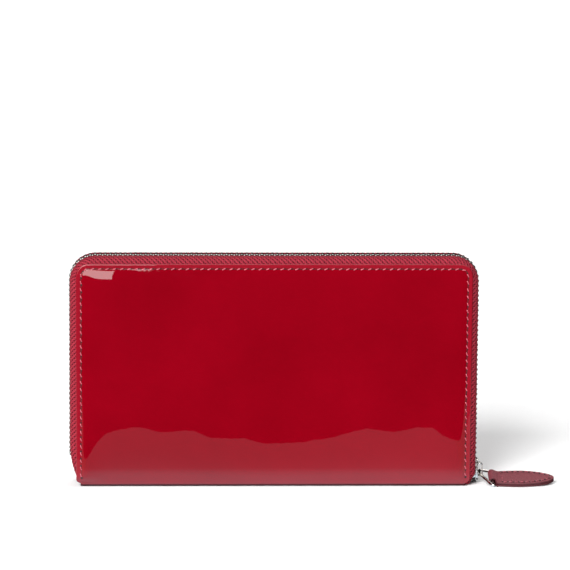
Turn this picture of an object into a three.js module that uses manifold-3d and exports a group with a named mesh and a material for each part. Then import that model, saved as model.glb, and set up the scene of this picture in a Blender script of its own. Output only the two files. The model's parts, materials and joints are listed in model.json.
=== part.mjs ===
// Zip around wallet, closed and standing on its spine.
// Millimetres. X runs along the spine, Y from the front face to the rear face, Z up.
// The origin is the middle of the spine's underside.
import * as THREE from 'three';
import { mergeVertices } from 'three/addons/utils/BufferGeometryUtils.js';
import Module from 'manifold-3d';

const wasm = await Module();
wasm.setup();

// ---------- driving dimensions ----------

const COVER_WIDTH = 188;
const COVER_HEIGHT = 108;
const COVER_CORNER = 6;          // radius of a cover's top corners
const SPINE_CORNER = 2;          // radius of a cover's corners at the spine
const FOLD_RADIUS = 1.6;         // outside of the leather's turn at the spine
const LEATHER = 1.1;
const BOARD = 0.6;
const LINING = 0.6;
const LINING_DROP = 2.5;         // a cover's top edge down to the lining's
const BOARD_INSET = 2.5;         // the tape's sewn margin to a board's side edge
const BOARD_DROP = 0.8;          // the tape's sewn margin to a board's top edge
const GLUE_LINE = 0.15;          // between two layers that are stuck together

const CARD_LAYER = 0.5;
const CARD_GAP = 0.2;
const CARD_FOOT = 6;             // height of the card tiers' lower edge
const CARD_STEP = 11;            // how much lower each tier ends than the one behind it
const CARD_TIERS = 3;
const CARD_INSET = 3.5;          // the lining's side edge to the card tiers'
const CARD_DROP = 2;             // the coin pocket's top edge down to the tallest tier's
const CARD_NOTCH = 1.6;
const NOTE_ROOM = 2.1;           // the long compartment between the cards and the coin pocket

const COIN_ROOM = 4.4;           // inside of the coin pocket, front to back
const POCKET_WALL = 0.5;
const POCKET_CORNER = 0.6;
const POCKET_FOOT = 3;           // height of the coin pocket's lower edge
const POCKET_INSET = 10.3;       // a cover's side edge to the coin pocket's
const POCKET_DROP = 22;          // a cover's top edge down to the coin pocket's
const BINDING = 0.7;
const GUSSET = 0.4;
const GUSSET_REACH = 19;         // depth of a gusset's fold when the wallet is shut

const TAPE = 0.5;
const TAPE_MARGIN = 7;           // the tape's sewn margin behind a cover's edge
const ZIP_REACH = 2.7;           // a cover's edge to the line of teeth
const ZIP_CORNER = 12;           // radius of the line of teeth at the top corners
const ZIP_FOOT = 0.6;            // height of the tapes' right end
const TURN_HEIGHT = 20;          // where the left end starts to turn in
const TURN_RADIUS = 43;
const TURN_ANGLE = THREE.MathUtils.degToRad(22);
const CHAIN_BAR = 1.4;           // a row of teeth where it grips the tape, front to back
const CHAIN_GAP = 3;             // between the two rows' grips
const CHAIN_THICK = 1.6;
const TOOTH_PITCH = 2.4;
const TOOTH_LENGTH = 1.0;
const TOOTH_THICK = 1.2;
const TOOTH_HOOK = 0.55;         // how far a tooth reaches past the middle
const CHAIN_STOP_SHORT = 12.5;   // the tapes' left end to the last tooth

const SLIDER_LENGTH = 10;
const SLIDER_WIDTH = 8;
const SLIDER_PLATE = 0.7;
const SLIDER_CHANNEL = 2.0;      // between the slider's two plates
const SLIDER_FOOT = 1.6;         // height of the shut slider's lower end
const SLIDER_FLANGE = 0.7;
const TAPE_SLOT = 1.1;           // between a slider's flanges, where a tape passes
const BAIL_ROOM = 1.9;
const BAIL_STRIP = 0.6;
const BAIL_WIDTH = 2;

const RING_WIRE = 1.1;
const RING_LENGTH = 6;           // the bail's bar to the tab's bar, on their centre lines
const RING_NECK = 2.05;          // half the bar in the bail
const RING_SPREAD = 7.6;         // half the bar in the tab
const RING_ROLL = THREE.MathUtils.degToRad(13);
const RING_PITCH = THREE.MathUtils.degToRad(10);

const TAB_LEATHER = 0.9;
const TAB_PLY_GAP = 0.2;
const TAB_LENGTH = 29.5;         // its bar to the tip
const TAB_WIDTH = 14;
const TAB_NECK = 9.4;
const TAB_NECK_SHIFT = 2;        // the neck's middle from the tab's middle
const TAB_FOLD_ROOM = 0.4;       // the ring's wire to the fold round it
const TAB_OPENING = THREE.MathUtils.degToRad(55);
const TAB_SHIFT = 5.5;           // the tab's middle from the slider's middle, towards the front

const COIN_ZIP_THICK = 1.2;
const COIN_ZIP_WIDTH = 3.2;
const COIN_ZIP_DROP = 10;        // the coin pocket's top edge to the middle of its zip
const COIN_SLIDER_LENGTH = 7;
const COIN_SLIDER_WALL = 0.6;    // thickness of the flanges at its two long edges
const COIN_PLATE = 0.5;
const COIN_BAIL_ROOM = 1.0;
const COIN_BAIL_REACH = 2.2;     // half the bail's length
const COIN_BAIL_LEG = 0.8;
const COIN_STRIP = 1.2;          // width of the post and the bail
const COIN_PULL_LENGTH = 14;
const COIN_PULL_WIDTH = 4;
const COIN_PULL_THICK = 0.5;
const COIN_EYE_LENGTH = 2.6;

// ---------- levels worked out from them ----------

const coinFace = COIN_ROOM / 2;
const coinBack = coinFace + POCKET_WALL;
const tierFace = (tier) => coinBack + NOTE_ROOM + tier * (CARD_LAYER + CARD_GAP);
const liningFace = tierFace(CARD_TIERS);
const liningBack = liningFace + LINING;
const boardFace = liningBack + GLUE_LINE;
const boardBack = boardFace + BOARD;
const leatherFace = boardBack + GLUE_LINE;
const leatherBack = leatherFace + LEATHER;
const tapePlane = leatherFace - GLUE_LINE - TAPE / 2;
const hingeY = leatherBack - FOLD_RADIUS;
const spineHalf = hingeY - FOLD_RADIUS - 0.3;

const coverSide = COVER_WIDTH / 2;
const zipSide = coverSide + ZIP_REACH;
const zipTop = COVER_HEIGHT + ZIP_REACH;
const liningSide = coverSide - 2;
const layerFoot = FOLD_RADIUS * 2.5;
const pocketSide = coverSide - POCKET_INSET;
const pocketTop = COVER_HEIGHT - POCKET_DROP;
const coinZipLevel = pocketTop - COIN_ZIP_DROP;
const chainBack = CHAIN_GAP / 2 + CHAIN_BAR;
const tapeEdge = chainBack + 0.2;
const FRONT = -1;
const REAR = 1;

// ---------- finishes ----------

const finish = (color, roughness, metalness = 0) =>
  new THREE.MeshStandardMaterial({ color, roughness, metalness });
const patentLeather = finish(0xa00a20, 0.12);
const liningLeather = finish(0x8e1a2c, 0.5);
const greyBoard = finish(0x8a8378, 0.9);
const zipCloth = finish(0xa83a52, 0.85);
const pocketCloth = finish(0x7c1c2c, 0.85);
const nickel = finish(0xb9b6b2, 0.25, 1);
const tabLeather = finish(0x944d55, 0.6);

const wallet = new THREE.Group();

// ---------- helpers ----------

// The manifold solid of a closed geometry.
function solidOf(geometry) {
  const bare = geometry.clone();
  bare.deleteAttribute('normal');
  bare.deleteAttribute('uv');
  const merged = mergeVertices(bare, 1e-4);
  return new wasm.Manifold(new wasm.Mesh({
    numProp: 3,
    vertProperties: new Float32Array(merged.attributes.position.array),
    triVerts: new Uint32Array(merged.index.array),
  }));
}

// The geometry of a manifold solid.
function geometryOf(solid) {
  const mesh = solid.getMesh();
  const geometry = new THREE.BufferGeometry();
  geometry.setAttribute('position', new THREE.BufferAttribute(mesh.vertProperties, 3));
  geometry.setIndex(new THREE.BufferAttribute(mesh.triVerts, 1));
  geometry.computeVertexNormals();
  return geometry;
}

const joined = (shapes) => geometryOf(shapes.map(solidOf).reduce((a, b) => a.add(b)));
const cut = (a, b) => geometryOf(solidOf(a).subtract(solidOf(b)));
const common = (a, b) => geometryOf(solidOf(a).intersect(solidOf(b)));

function piece(name, geometry, material, parent = wallet) {
  const mesh = new THREE.Mesh(geometry, material.clone());
  mesh.name = name;
  parent.add(mesh);
  return mesh;
}

// A box between two corners.
function block([x0, y0, z0], [x1, y1, z1]) {
  return new THREE.BoxGeometry(Math.abs(x1 - x0), Math.abs(y1 - y0), Math.abs(z1 - z0))
    .translate((x0 + x1) / 2, (y0 + y1) / 2, (z0 + z1) / 2);
}

// An upright sheet, its outline drawn in X and Z, between two depths.
function sheet(outline, yA, yB) {
  const depth = Math.abs(yB - yA);
  return new THREE.ExtrudeGeometry(outline, { depth, bevelEnabled: false, curveSegments: 5 })
    .rotateX(Math.PI / 2)
    .translate(0, Math.max(yA, yB), 0);
}

// A rectangle from -half to half and from low to high, its upper and lower corners rounded.
function panel(half, low, high, upper, lower = 0.4) {
  const outline = new THREE.Shape();
  outline.moveTo(lower - half, low);
  outline.absarc(half - lower, low + lower, lower, -Math.PI / 2, 0);
  outline.absarc(half - upper, high - upper, upper, 0, Math.PI / 2);
  outline.absarc(upper - half, high - upper, upper, Math.PI / 2, Math.PI);
  outline.absarc(lower - half, low + lower, lower, Math.PI, Math.PI * 1.5);
  return outline;
}

// A strip of even thickness along a bent centre line, as a closed outline.
function strip(line, thickness) {
  const edge = (sign) => line.map((point, i) => {
    const into = point.clone().sub(line[Math.max(i - 1, 0)]).normalize();
    const out = line[Math.min(i + 1, line.length - 1)].clone().sub(point).normalize();
    const before = i === 0 ? out : into;
    const after = i === line.length - 1 ? into : out;
    const mitre = new THREE.Vector2(-before.y - after.y, before.x + after.x)
      .divideScalar(1 + before.dot(after));
    return point.clone().addScaledVector(mitre, sign * thickness / 2);
  });
  return new THREE.Shape([...edge(1), ...edge(-1).reverse()]);
}

const points = (...pairs) => pairs.map(([x, y]) => new THREE.Vector2(x, y));

// Points of an ellipse's arc, from one angle to another.
function arcPoints(x, y, radiusX, radiusY, from, to, steps) {
  return Array.from({ length: steps + 1 }, (_, i) => {
    const angle = from + (to - from) * i / steps;
    return new THREE.Vector2(x + radiusX * Math.cos(angle), y + radiusY * Math.sin(angle));
  });
}

// ---------- the line of teeth ----------
// Up the right side, round the top and down the left side, in runs that are straight or
// turn left. A heading is an angle from +X towards +Z.

const cornerRun = { length: ZIP_CORNER * Math.PI / 2, turn: Math.PI / 2, steps: 8 };
const zipRuns = [
  { length: zipTop - ZIP_CORNER - ZIP_FOOT, turn: 0, steps: 1 },
  cornerRun,
  { length: 2 * (zipSide - ZIP_CORNER), turn: 0, steps: 1 },
  cornerRun,
  { length: zipTop - ZIP_CORNER - TURN_HEIGHT, turn: 0, steps: 1 },
  { length: TURN_RADIUS * TURN_ANGLE, turn: TURN_ANGLE, steps: 4 },
];
const zipLength = zipRuns.reduce((sum, run) => sum + run.length, 0);

// How far a run goes across and up after a distance, from its first heading.
function advance(run, heading, distance) {
  if (run.turn === 0) return [distance * Math.cos(heading), distance * Math.sin(heading)];
  const radius = run.length / run.turn;
  const angle = heading + distance / radius;
  return [
    radius * (Math.sin(angle) - Math.sin(heading)),
    radius * (Math.cos(heading) - Math.cos(angle)),
  ];
}

// The place, heading and outward direction on the line of teeth at a distance along it.
function onZip(distance) {
  let [x, z, heading, left] = [zipSide, ZIP_FOOT, Math.PI / 2, distance];
  let run = zipRuns[0];
  for (run of zipRuns) {
    if (left <= run.length || run === zipRuns.at(-1)) break;
    const [across, up] = advance(run, heading, run.length);
    x += across;
    z += up;
    heading += run.turn;
    left -= run.length;
  }
  const [across, up] = advance(run, heading, left);
  const angle = heading + run.turn * left / run.length;
  return {
    point: new THREE.Vector3(x + across, 0, z + up),
    tangent: new THREE.Vector3(Math.cos(angle), 0, Math.sin(angle)),
    outward: new THREE.Vector3(Math.sin(angle), 0, -Math.cos(angle)),
  };
}

// Distances along the line where a swept section has to stand, between two ends.
function zipStations(from, to) {
  const marks = [];
  let start = 0;
  for (const run of zipRuns) {
    for (let i = 0; i < run.steps; i++) marks.push(start + run.length * i / run.steps);
    start += run.length;
  }
  return [from, ...marks.filter((mark) => mark > from + 0.1 && mark < to - 0.1), to].map(onZip);
}

// A curve that a section is swept along through each of its stations.
class StationCurve extends THREE.Curve {
  constructor(stations) {
    super();
    this.stations = stations;
  }

  at(u) {
    return this.stations[Math.round(u * (this.stations.length - 1))];
  }

  getPointAt(u, target = new THREE.Vector3()) {
    return target.copy(this.at(u).point);
  }

  getTangentAt(u, target = new THREE.Vector3()) {
    return target.copy(this.at(u).tangent);
  }
}

// A section swept along the line of teeth. Its x is the depth towards the front, and its
// y the distance outwards from the line.
function swept(section, from, to) {
  const stations = zipStations(from, to);
  return new THREE.ExtrudeGeometry(section, {
    steps: stations.length - 1,
    extrudePath: new StationCurve(stations),
  });
}

// A box on the line of teeth: its size and middle are outwards, in depth and along the line.
function blockOnZip(distance, size, [outward, depth]) {
  const place = onZip(distance);
  const matrix = new THREE.Matrix4()
    .makeBasis(place.outward, new THREE.Vector3(0, 1, 0), place.tangent)
    .setPosition(place.point);
  return new THREE.BoxGeometry(...size).translate(outward, depth, 0).applyMatrix4(matrix);
}

// ---------- covers ----------

// The patent leather of one side, with its half of the turn at the spine.
function coverGeometry(side) {
  const slab = sheet(
    panel(coverSide, FOLD_RADIUS, COVER_HEIGHT, COVER_CORNER, SPINE_CORNER),
    side * leatherFace,
    side * leatherBack,
  );
  const turn = new THREE.CylinderGeometry(FOLD_RADIUS, FOLD_RADIUS, 2 * (coverSide - SPINE_CORNER), 16)
    .rotateZ(Math.PI / 2)
    .translate(0, side * hingeY, FOLD_RADIUS);
  return joined([slab, turn]);
}

const sides = { front: FRONT, rear: REAR };
for (const [name, side] of Object.entries(sides)) {
  piece(`${name}_cover`, coverGeometry(side), patentLeather);
  const boardSide = coverSide - TAPE_MARGIN - BOARD_INSET;
  const boardTop = COVER_HEIGHT - TAPE_MARGIN - BOARD_DROP;
  const board = panel(boardSide, layerFoot, boardTop, 2, 2);
  piece(`${name}_board`, sheet(board, side * boardFace, side * boardBack), greyBoard);
  const liningCorner = ZIP_CORNER - (zipSide - liningSide);
  const lining = panel(liningSide, layerFoot, COVER_HEIGHT - LINING_DROP, liningCorner, 2);
  piece(`${name}_lining`, sheet(lining, side * liningFace, side * liningBack), liningLeather);
}

const spineEnd = coverSide - SPINE_CORNER;
piece('spine_leather', block([-spineEnd, -spineHalf, 0], [spineEnd, spineHalf, LEATHER]), patentLeather);
const spineLiningFoot = LEATHER + 0.25;
piece('spine_lining', block(
  [-spineEnd, -spineHalf, spineLiningFoot],
  [spineEnd, spineHalf, spineLiningFoot + LINING],
), liningLeather);

// ---------- card tiers ----------
// Tier 1 lies against the lining and is the tallest. Each holds a slot on its left and one
// on its right, with a sewn line between them, cut as a shallow notch in its top edge.

const tierTop = (tier) => pocketTop - CARD_DROP - (CARD_TIERS - 1 - tier) * CARD_STEP;

function cardTier(side, tier) {
  const half = liningSide - CARD_INSET;
  const top = tierTop(tier);
  const outline = new THREE.Shape(points(
    [-half, CARD_FOOT], [half, CARD_FOOT], [half, top], [CARD_NOTCH, top],
    [0, top - CARD_NOTCH], [-CARD_NOTCH, top], [-half, top],
  ));
  return sheet(outline, side * tierFace(tier), side * (tierFace(tier) + CARD_LAYER));
}

for (const [name, side] of Object.entries(sides)) {
  for (let tier = 0; tier < CARD_TIERS; tier++) {
    piece(`${name}_card_tier_${CARD_TIERS - tier}`, cardTier(side, tier), liningLeather);
  }
}

// ---------- coin pocket ----------

const coinZipHalf = COIN_ZIP_WIDTH / 2;
const coinZipMiddle = -(coinFace - POCKET_WALL + 0.05);
const coinTapeHalf = 0.2;
const frontWallTop = coinZipLevel - 6;
const facingFoot = coinZipLevel + 3.2;

piece('coin_pocket_front_wall', sheet(
  panel(pocketSide, POCKET_FOOT, frontWallTop, POCKET_CORNER, POCKET_CORNER), -coinBack, -coinFace,
), pocketCloth);
piece('coin_pocket_rear_wall', sheet(
  panel(pocketSide, POCKET_FOOT, pocketTop, POCKET_CORNER, POCKET_CORNER), coinFace, coinBack,
), pocketCloth);
piece('coin_pocket_facing', sheet(
  panel(pocketSide, facingFoot, pocketTop, POCKET_CORNER, POCKET_CORNER), -coinBack, -coinFace,
), liningLeather);

// The bound edge that closes the pocket's sides, foot and top.
function pocketBinding() {
  const inside = 0.2;
  const outside = inside + BINDING;
  const outline = panel(pocketSide + outside, POCKET_FOOT - outside, pocketTop + outside, 1.2, 1.2);
  outline.holes.push(panel(pocketSide + inside, POCKET_FOOT - inside, pocketTop + inside, 0.5, 0.5));
  return sheet(outline, -coinBack, coinBack);
}
piece('coin_pocket_binding', pocketBinding(), liningLeather);

const coinTape = (low, high) => block(
  [-pocketSide, coinZipMiddle - coinTapeHalf, low],
  [pocketSide, coinZipMiddle + coinTapeHalf, high],
);
piece('coin_zip_lower_tape', coinTape(coinZipLevel - 11, coinZipLevel - coinZipHalf - 0.2), zipCloth);
piece('coin_zip_upper_tape', coinTape(coinZipLevel + coinZipHalf + 0.2, pocketTop), zipCloth);

const coinSliderPlace = pocketSide - 16;
const coinChainStart = 9 - pocketSide;
const coinBlock = (x0, x1, half, thick) => block(
  [x0, coinZipMiddle - thick / 2, coinZipLevel - half],
  [x1, coinZipMiddle + thick / 2, coinZipLevel + half],
);
piece('coin_zip_chain', coinBlock(
  coinChainStart, coinSliderPlace + 1.8, coinZipHalf, COIN_ZIP_THICK,
), nickel);
piece('coin_zip_bottom_stop', coinBlock(
  coinChainStart - 2, coinChainStart - 0.2, coinZipHalf, COIN_ZIP_THICK + 0.3,
), nickel);

// ---------- coin zip slider and pull, about the slider's own middle ----------

// Depths from the middle of the tape: the channel's half, a plate's far face, the bail's.
const coinChannel = COIN_ZIP_THICK / 2 + 0.15;
const coinPlateBack = coinChannel + COIN_PLATE;

const coinSlider = new THREE.Group();
coinSlider.position.set(coinSliderPlace, coinZipMiddle, coinZipLevel);
wallet.add(coinSlider);

function coinSliderGeometry() {
  const half = COIN_SLIDER_LENGTH / 2;
  const wall = coinZipHalf + 0.5;
  const wide = wall + COIN_SLIDER_WALL;
  const strip = COIN_STRIP / 2;
  const bailTop = -(coinPlateBack + COIN_BAIL_ROOM);
  const parts = [];
  for (const face of [-1, 1]) {
    parts.push(block([-half, face * coinChannel, -wide], [half, face * coinPlateBack, wide]));
    for (const edge of [-1, 1]) {
      parts.push(block(
        [-half, face * (coinTapeHalf + 0.15), edge * wall],
        [half, face * (coinChannel + 0.1), edge * wide],
      ));
    }
  }
  parts.push(block(
    [half - 1.4, -coinChannel - 0.1, -strip],
    [half - 0.3, coinChannel + 0.1, strip],
  ));
  for (const leg of [-COIN_BAIL_REACH, COIN_BAIL_REACH - COIN_BAIL_LEG]) {
    parts.push(block(
      [leg, -coinPlateBack + 0.1, -strip],
      [leg + COIN_BAIL_LEG, bailTop - 0.1, strip],
    ));
  }
  parts.push(block(
    [-COIN_BAIL_REACH, bailTop, -strip],
    [COIN_BAIL_REACH, bailTop - COIN_PLATE, strip],
  ));
  return joined(parts);
}
piece('coin_slider', coinSliderGeometry(), nickel, coinSlider);

function coinPullGeometry() {
  const end = 0.6;
  const half = COIN_PULL_WIDTH / 2;
  const eye = COIN_EYE_LENGTH / 2;
  const outline = new THREE.Shape();
  outline.moveTo(end, -half);
  outline.lineTo(end, half);
  outline.lineTo(3 - COIN_PULL_LENGTH, half * 0.8);
  outline.absarc(2.2 - COIN_PULL_LENGTH, 0, half * 0.9, Math.PI / 3, Math.PI * 5 / 3);
  outline.holes.push(new THREE.Path(points(
    [-end - COIN_EYE_LENGTH, -eye], [-end, -eye], [-end, eye], [-end - COIN_EYE_LENGTH, eye],
  )));
  const face = -(coinPlateBack + 0.2);
  return sheet(outline, face, face - COIN_PULL_THICK);
}
piece('coin_pull', coinPullGeometry(), nickel, coinSlider);

// ---------- gussets ----------
// A folded strip at each end of each note compartment, from the lining to the coin pocket.

function gussetGeometry(side, end) {
  const cover = liningFace - 0.2 - GUSSET / 2;
  const outer = tierFace(0) - 0.25 - GUSSET / 2;
  const inner = coinBack + 0.15 + GUSSET / 2;
  const edge = liningSide - 2.8;
  const apex = edge - GUSSET_REACH;
  const turn = (outer - inner) / 2;
  const line = [
    ...points([edge + 2.4, cover], [edge, cover], [edge - 0.2, outer]),
    ...arcPoints(apex, (outer + inner) / 2, turn, turn, Math.PI / 2, Math.PI * 1.5, 4),
    ...points([pocketSide - 0.4, inner]),
  ].map((point) => new THREE.Vector2(end * point.x, side * point.y));
  const foot = CARD_FOOT + 4;
  return new THREE.ExtrudeGeometry(strip(line, GUSSET), {
    depth: frontWallTop - 2 - foot,
    bevelEnabled: false,
  }).translate(0, 0, foot);
}

const ends = { left: -1, right: 1 };
for (const [name, side] of Object.entries(sides)) {
  for (const [endName, end] of Object.entries(ends)) {
    piece(`${name}_${endName}_gusset`, gussetGeometry(side, end), pocketCloth);
  }
}

// ---------- zip tapes, teeth and stops ----------

// A tape: flat behind the cover's edge, then round the edge and in towards the middle.
function tapeGeometry(side) {
  const [flat, drop] = [tapeEdge + 1, ZIP_REACH + 0.5];
  const line = [
    ...points([tapePlane, -ZIP_REACH - TAPE_MARGIN]),
    ...arcPoints(flat, -drop, tapePlane - flat, drop, 0, Math.PI / 2, 5),
    ...points([tapeEdge, 0]),
  ].map((point) => new THREE.Vector2(-side * point.x, point.y));
  const tape = swept(strip(line, TAPE), 0, zipLength);
  const spineClear = block(
    [0, -leatherBack, -1],
    [coverSide + 0.2, leatherBack, 2 * FOLD_RADIUS + 0.3],
  );
  return cut(tape, spineClear);
}

const postEnd = 2.6;
const chainStart = SLIDER_FOOT + postEnd + 0.2 - ZIP_FOOT;
const chainEnd = zipLength - CHAIN_STOP_SHORT;

// A row of teeth with the bead that holds them on its tape's edge.
function chainGeometry(side) {
  const half = CHAIN_THICK / 2;
  const [near, far] = [-side * CHAIN_GAP / 2, -side * chainBack];
  const bar = new THREE.Shape(points([near, -half], [far, -half], [far, half], [near, half]));
  const reach = CHAIN_GAP / 2 + 0.1 + TOOTH_HOOK;
  const middle = side * (reach / 2 - TOOTH_HOOK);
  const size = [TOOTH_THICK, reach, TOOTH_LENGTH];
  const first = chainStart + 0.8 + (side === REAR ? TOOTH_PITCH / 2 : 0);
  const parts = [swept(bar, chainStart, chainEnd)];
  for (let place = first; place < chainEnd - 0.6; place += TOOTH_PITCH) {
    parts.push(blockOnZip(place, size, [0, middle]));
  }
  return joined(parts);
}

for (const [name, side] of Object.entries(sides)) {
  piece(`${name}_zip_tape`, tapeGeometry(side), zipCloth);
  piece(`${name}_zip_chain`, chainGeometry(side), nickel);
  piece(`${name}_top_stop`, block(
    [zipSide - CHAIN_THICK / 2, side * (CHAIN_GAP / 2 - 0.1), ZIP_FOOT + 0.1],
    [zipSide + CHAIN_THICK / 2, side * chainBack, SLIDER_FOOT - 0.2],
  ), nickel);
}
piece('bottom_stop', blockOnZip(chainEnd + 1.2, [1.9, 2 * chainBack, 2], [0, 0]), nickel);

// ---------- zip slider ----------
// About the middle of the channel at the slider's lower end: X outwards, Z along the teeth.

const slider = new THREE.Group();
slider.position.set(zipSide, 0, SLIDER_FOOT);
wallet.add(slider);

const channel = SLIDER_CHANNEL / 2;
const plateBack = channel + SLIDER_PLATE;
const bailInside = plateBack + BAIL_ROOM;

// A plate's outline in Y and Z: wide shoulders at the lower end, narrower at the tail.
function sliderPlate(low, high) {
  const half = SLIDER_WIDTH / 2;
  const outline = new THREE.Shape(points(
    [-half + 0.8, 0], [half - 0.8, 0], [half, 1], [half, SLIDER_LENGTH * 0.5],
    [half - 0.7, SLIDER_LENGTH - 0.8], [half - 1.5, SLIDER_LENGTH],
    [-half + 1.5, SLIDER_LENGTH], [-half + 0.7, SLIDER_LENGTH - 0.8],
    [-half, SLIDER_LENGTH * 0.5], [-half, 1],
  ));
  const plate = new THREE.ExtrudeGeometry(outline, { depth: high - low, bevelEnabled: false });
  const turned = new THREE.Matrix4().makeBasis(
    new THREE.Vector3(0, 1, 0), new THREE.Vector3(0, 0, 1), new THREE.Vector3(1, 0, 0),
  );
  return plate.applyMatrix4(turned).translate(low, 0, 0);
}

function sliderGeometry() {
  const parts = [sliderPlate(channel, plateBack), sliderPlate(-plateBack, -channel)];
  const half = SLIDER_WIDTH / 2;
  const flangeTop = SLIDER_LENGTH * 0.5;
  for (const face of [-1, 1]) {
    for (const edge of [-1, 1]) {
      parts.push(block(
        [face * TAPE_SLOT / 2, edge * (half - SLIDER_FLANGE), 1],
        [face * (channel + 0.1), edge * half, flangeTop],
      ));
    }
  }
  parts.push(block([-channel - 0.1, -0.9, 0.2], [channel + 0.1, 0.9, postEnd]));
  const [bailFoot, bailHead] = [SLIDER_LENGTH * 0.11, SLIDER_LENGTH * 0.81];
  const bailHalf = BAIL_WIDTH / 2;
  for (const [low, high] of [[bailFoot, bailFoot + 0.9], [bailHead - 0.9, bailHead]]) {
    parts.push(block([plateBack - 0.1, -bailHalf, low], [bailInside + 0.1, bailHalf, high]));
  }
  parts.push(block([bailInside, -bailHalf, bailFoot], [bailInside + BAIL_STRIP, bailHalf, bailHead]));
  return joined(parts);
}
piece('zip_slider', sliderGeometry(), nickel, slider);

// ---------- ring and pull tab ----------
// The ring's frame: X from the bail's bar to the tab's bar, Y across. The tab's near edge
// rests on the ground, which sets the height of the ring's axis in the bail.

const tabThick = 2 * TAB_LEATHER + TAB_PLY_GAP;
const tabNear = TAB_SHIFT + TAB_WIDTH / 2;
const ringHeight = 0.03 + tabNear * Math.sin(RING_ROLL)
  + (RING_LENGTH * Math.sin(RING_PITCH) + tabThick / 2) * Math.cos(RING_ROLL);

const ring = new THREE.Group();
ring.position.set(zipSide + plateBack + BAIL_ROOM / 2, 0, ringHeight);
ring.rotation.set(RING_ROLL, RING_PITCH, 0);
wallet.add(ring);

// A round-cornered outline through four or more corners.
function roundedOutline(corners, radius, Kind = THREE.Shape) {
  const outline = new Kind();
  corners.forEach((corner, i) => {
    const last = corners[(i + corners.length - 1) % corners.length];
    const next = corners[(i + 1) % corners.length];
    const into = corner.clone().addScaledVector(last.clone().sub(corner).normalize(), radius);
    const out = corner.clone().addScaledVector(next.clone().sub(corner).normalize(), radius);
    if (i === 0) outline.moveTo(into.x, into.y);
    else outline.lineTo(into.x, into.y);
    outline.quadraticCurveTo(corner.x, corner.y, out.x, out.y);
  });
  outline.closePath();
  return outline;
}

// The ring's corners, its wire's centre line moved outwards by a distance.
function ringCorners(grow) {
  const slope = (RING_SPREAD + TAB_SHIFT - RING_NECK) / RING_LENGTH;
  const skew = Math.hypot(1, slope) * grow;
  return points(
    [-grow, RING_NECK + grow], [-grow, -RING_NECK - skew + slope * grow],
    [RING_LENGTH + grow, -TAB_SHIFT - RING_SPREAD - skew - slope * grow],
    [RING_LENGTH + grow, RING_NECK + grow],
  );
}

function ringGeometry() {
  const bevel = 0.3;
  const half = RING_WIRE / 2 - bevel;
  const outline = roundedOutline(ringCorners(half), 1.2);
  outline.holes.push(roundedOutline(ringCorners(-half), 0.8, THREE.Path));
  return new THREE.ExtrudeGeometry(outline, {
    depth: 2 * half, bevelThickness: bevel, bevelSize: bevel, bevelSegments: 1, curveSegments: 3,
  }).translate(0, 0, -half);
}
piece('pull_ring', ringGeometry(), nickel, ring);

const tab = new THREE.Group();
tab.position.set(RING_LENGTH, 0, 0);
tab.rotation.y = -RING_PITCH;
ring.add(tab);

// The tab's outline: a neck that fits inside the ring, then a leaf with a rounded point.
function tabOutline() {
  const half = TAB_WIDTH / 2;
  const neck = TAB_NECK / 2;
  const shoulder = RING_WIRE / 2 + 0.45;
  const widest = TAB_LENGTH * 0.45;
  const outline = new THREE.Shape();
  outline.moveTo(-4, TAB_NECK_SHIFT - neck);
  outline.lineTo(shoulder, TAB_NECK_SHIFT - neck);
  outline.lineTo(shoulder + 0.3, 1 - half);
  outline.quadraticCurveTo(widest * 0.5, -half, widest, -half);
  outline.bezierCurveTo(TAB_LENGTH * 0.75, -half, TAB_LENGTH, -half * 0.55, TAB_LENGTH, 0);
  outline.bezierCurveTo(TAB_LENGTH, half * 0.55, TAB_LENGTH * 0.75, half, widest, half);
  outline.quadraticCurveTo(widest * 0.5, half, shoulder + 0.3, half - 1);
  outline.lineTo(shoulder, TAB_NECK_SHIFT + neck);
  outline.lineTo(-4, TAB_NECK_SHIFT + neck);
  return outline;
}

// One strip of leather folded round the ring's bar, cut to the outline.
function tabGeometry() {
  const bend = RING_WIRE / 2 + TAB_FOLD_ROOM + TAB_LEATHER / 2;
  const ply = (TAB_PLY_GAP + TAB_LEATHER) / 2;
  const line = [
    ...points([TAB_LENGTH + 1, ply], [2.6, ply]),
    ...arcPoints(0, 0, bend, bend, TAB_OPENING, 2 * Math.PI - TAB_OPENING, 8),
    ...points([2.6, -ply], [TAB_LENGTH + 1, -ply]),
  ];
  const folded = new THREE.ExtrudeGeometry(strip(line, TAB_LEATHER), {
    depth: TAB_WIDTH + 2,
    bevelEnabled: false,
  }).rotateX(Math.PI / 2).translate(0, TAB_WIDTH / 2 + 1, 0);
  const leaf = new THREE.ExtrudeGeometry(tabOutline(), {
    depth: 6,
    bevelEnabled: false,
    curveSegments: 8,
  }).translate(0, 0, -3);
  return common(folded, leaf).translate(0, -TAB_SHIFT, 0);
}
piece('pull_tab', tabGeometry(), tabLeather, tab);

export default wallet;
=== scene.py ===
"""Looks of a long zip around wallet in patent leather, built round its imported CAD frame.

Every length is in metres and in the frame's own axes: X along the spine, Y from the front
face to the rear face, Z up. Shapes are numpy surfaces: a profile carried along a path, or a
height over a flat outline. Each sub-assembly is a class that builds its pieces, gives them
a finish and says which body of the frame they ride on.
"""
from __future__ import annotations

import json
import logging
import math
from collections.abc import Callable
from dataclasses import dataclass
from enum import Enum

import bmesh
import bpy
import numpy as np
from mathutils import Euler, Matrix, Quaternion, Vector


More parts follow.
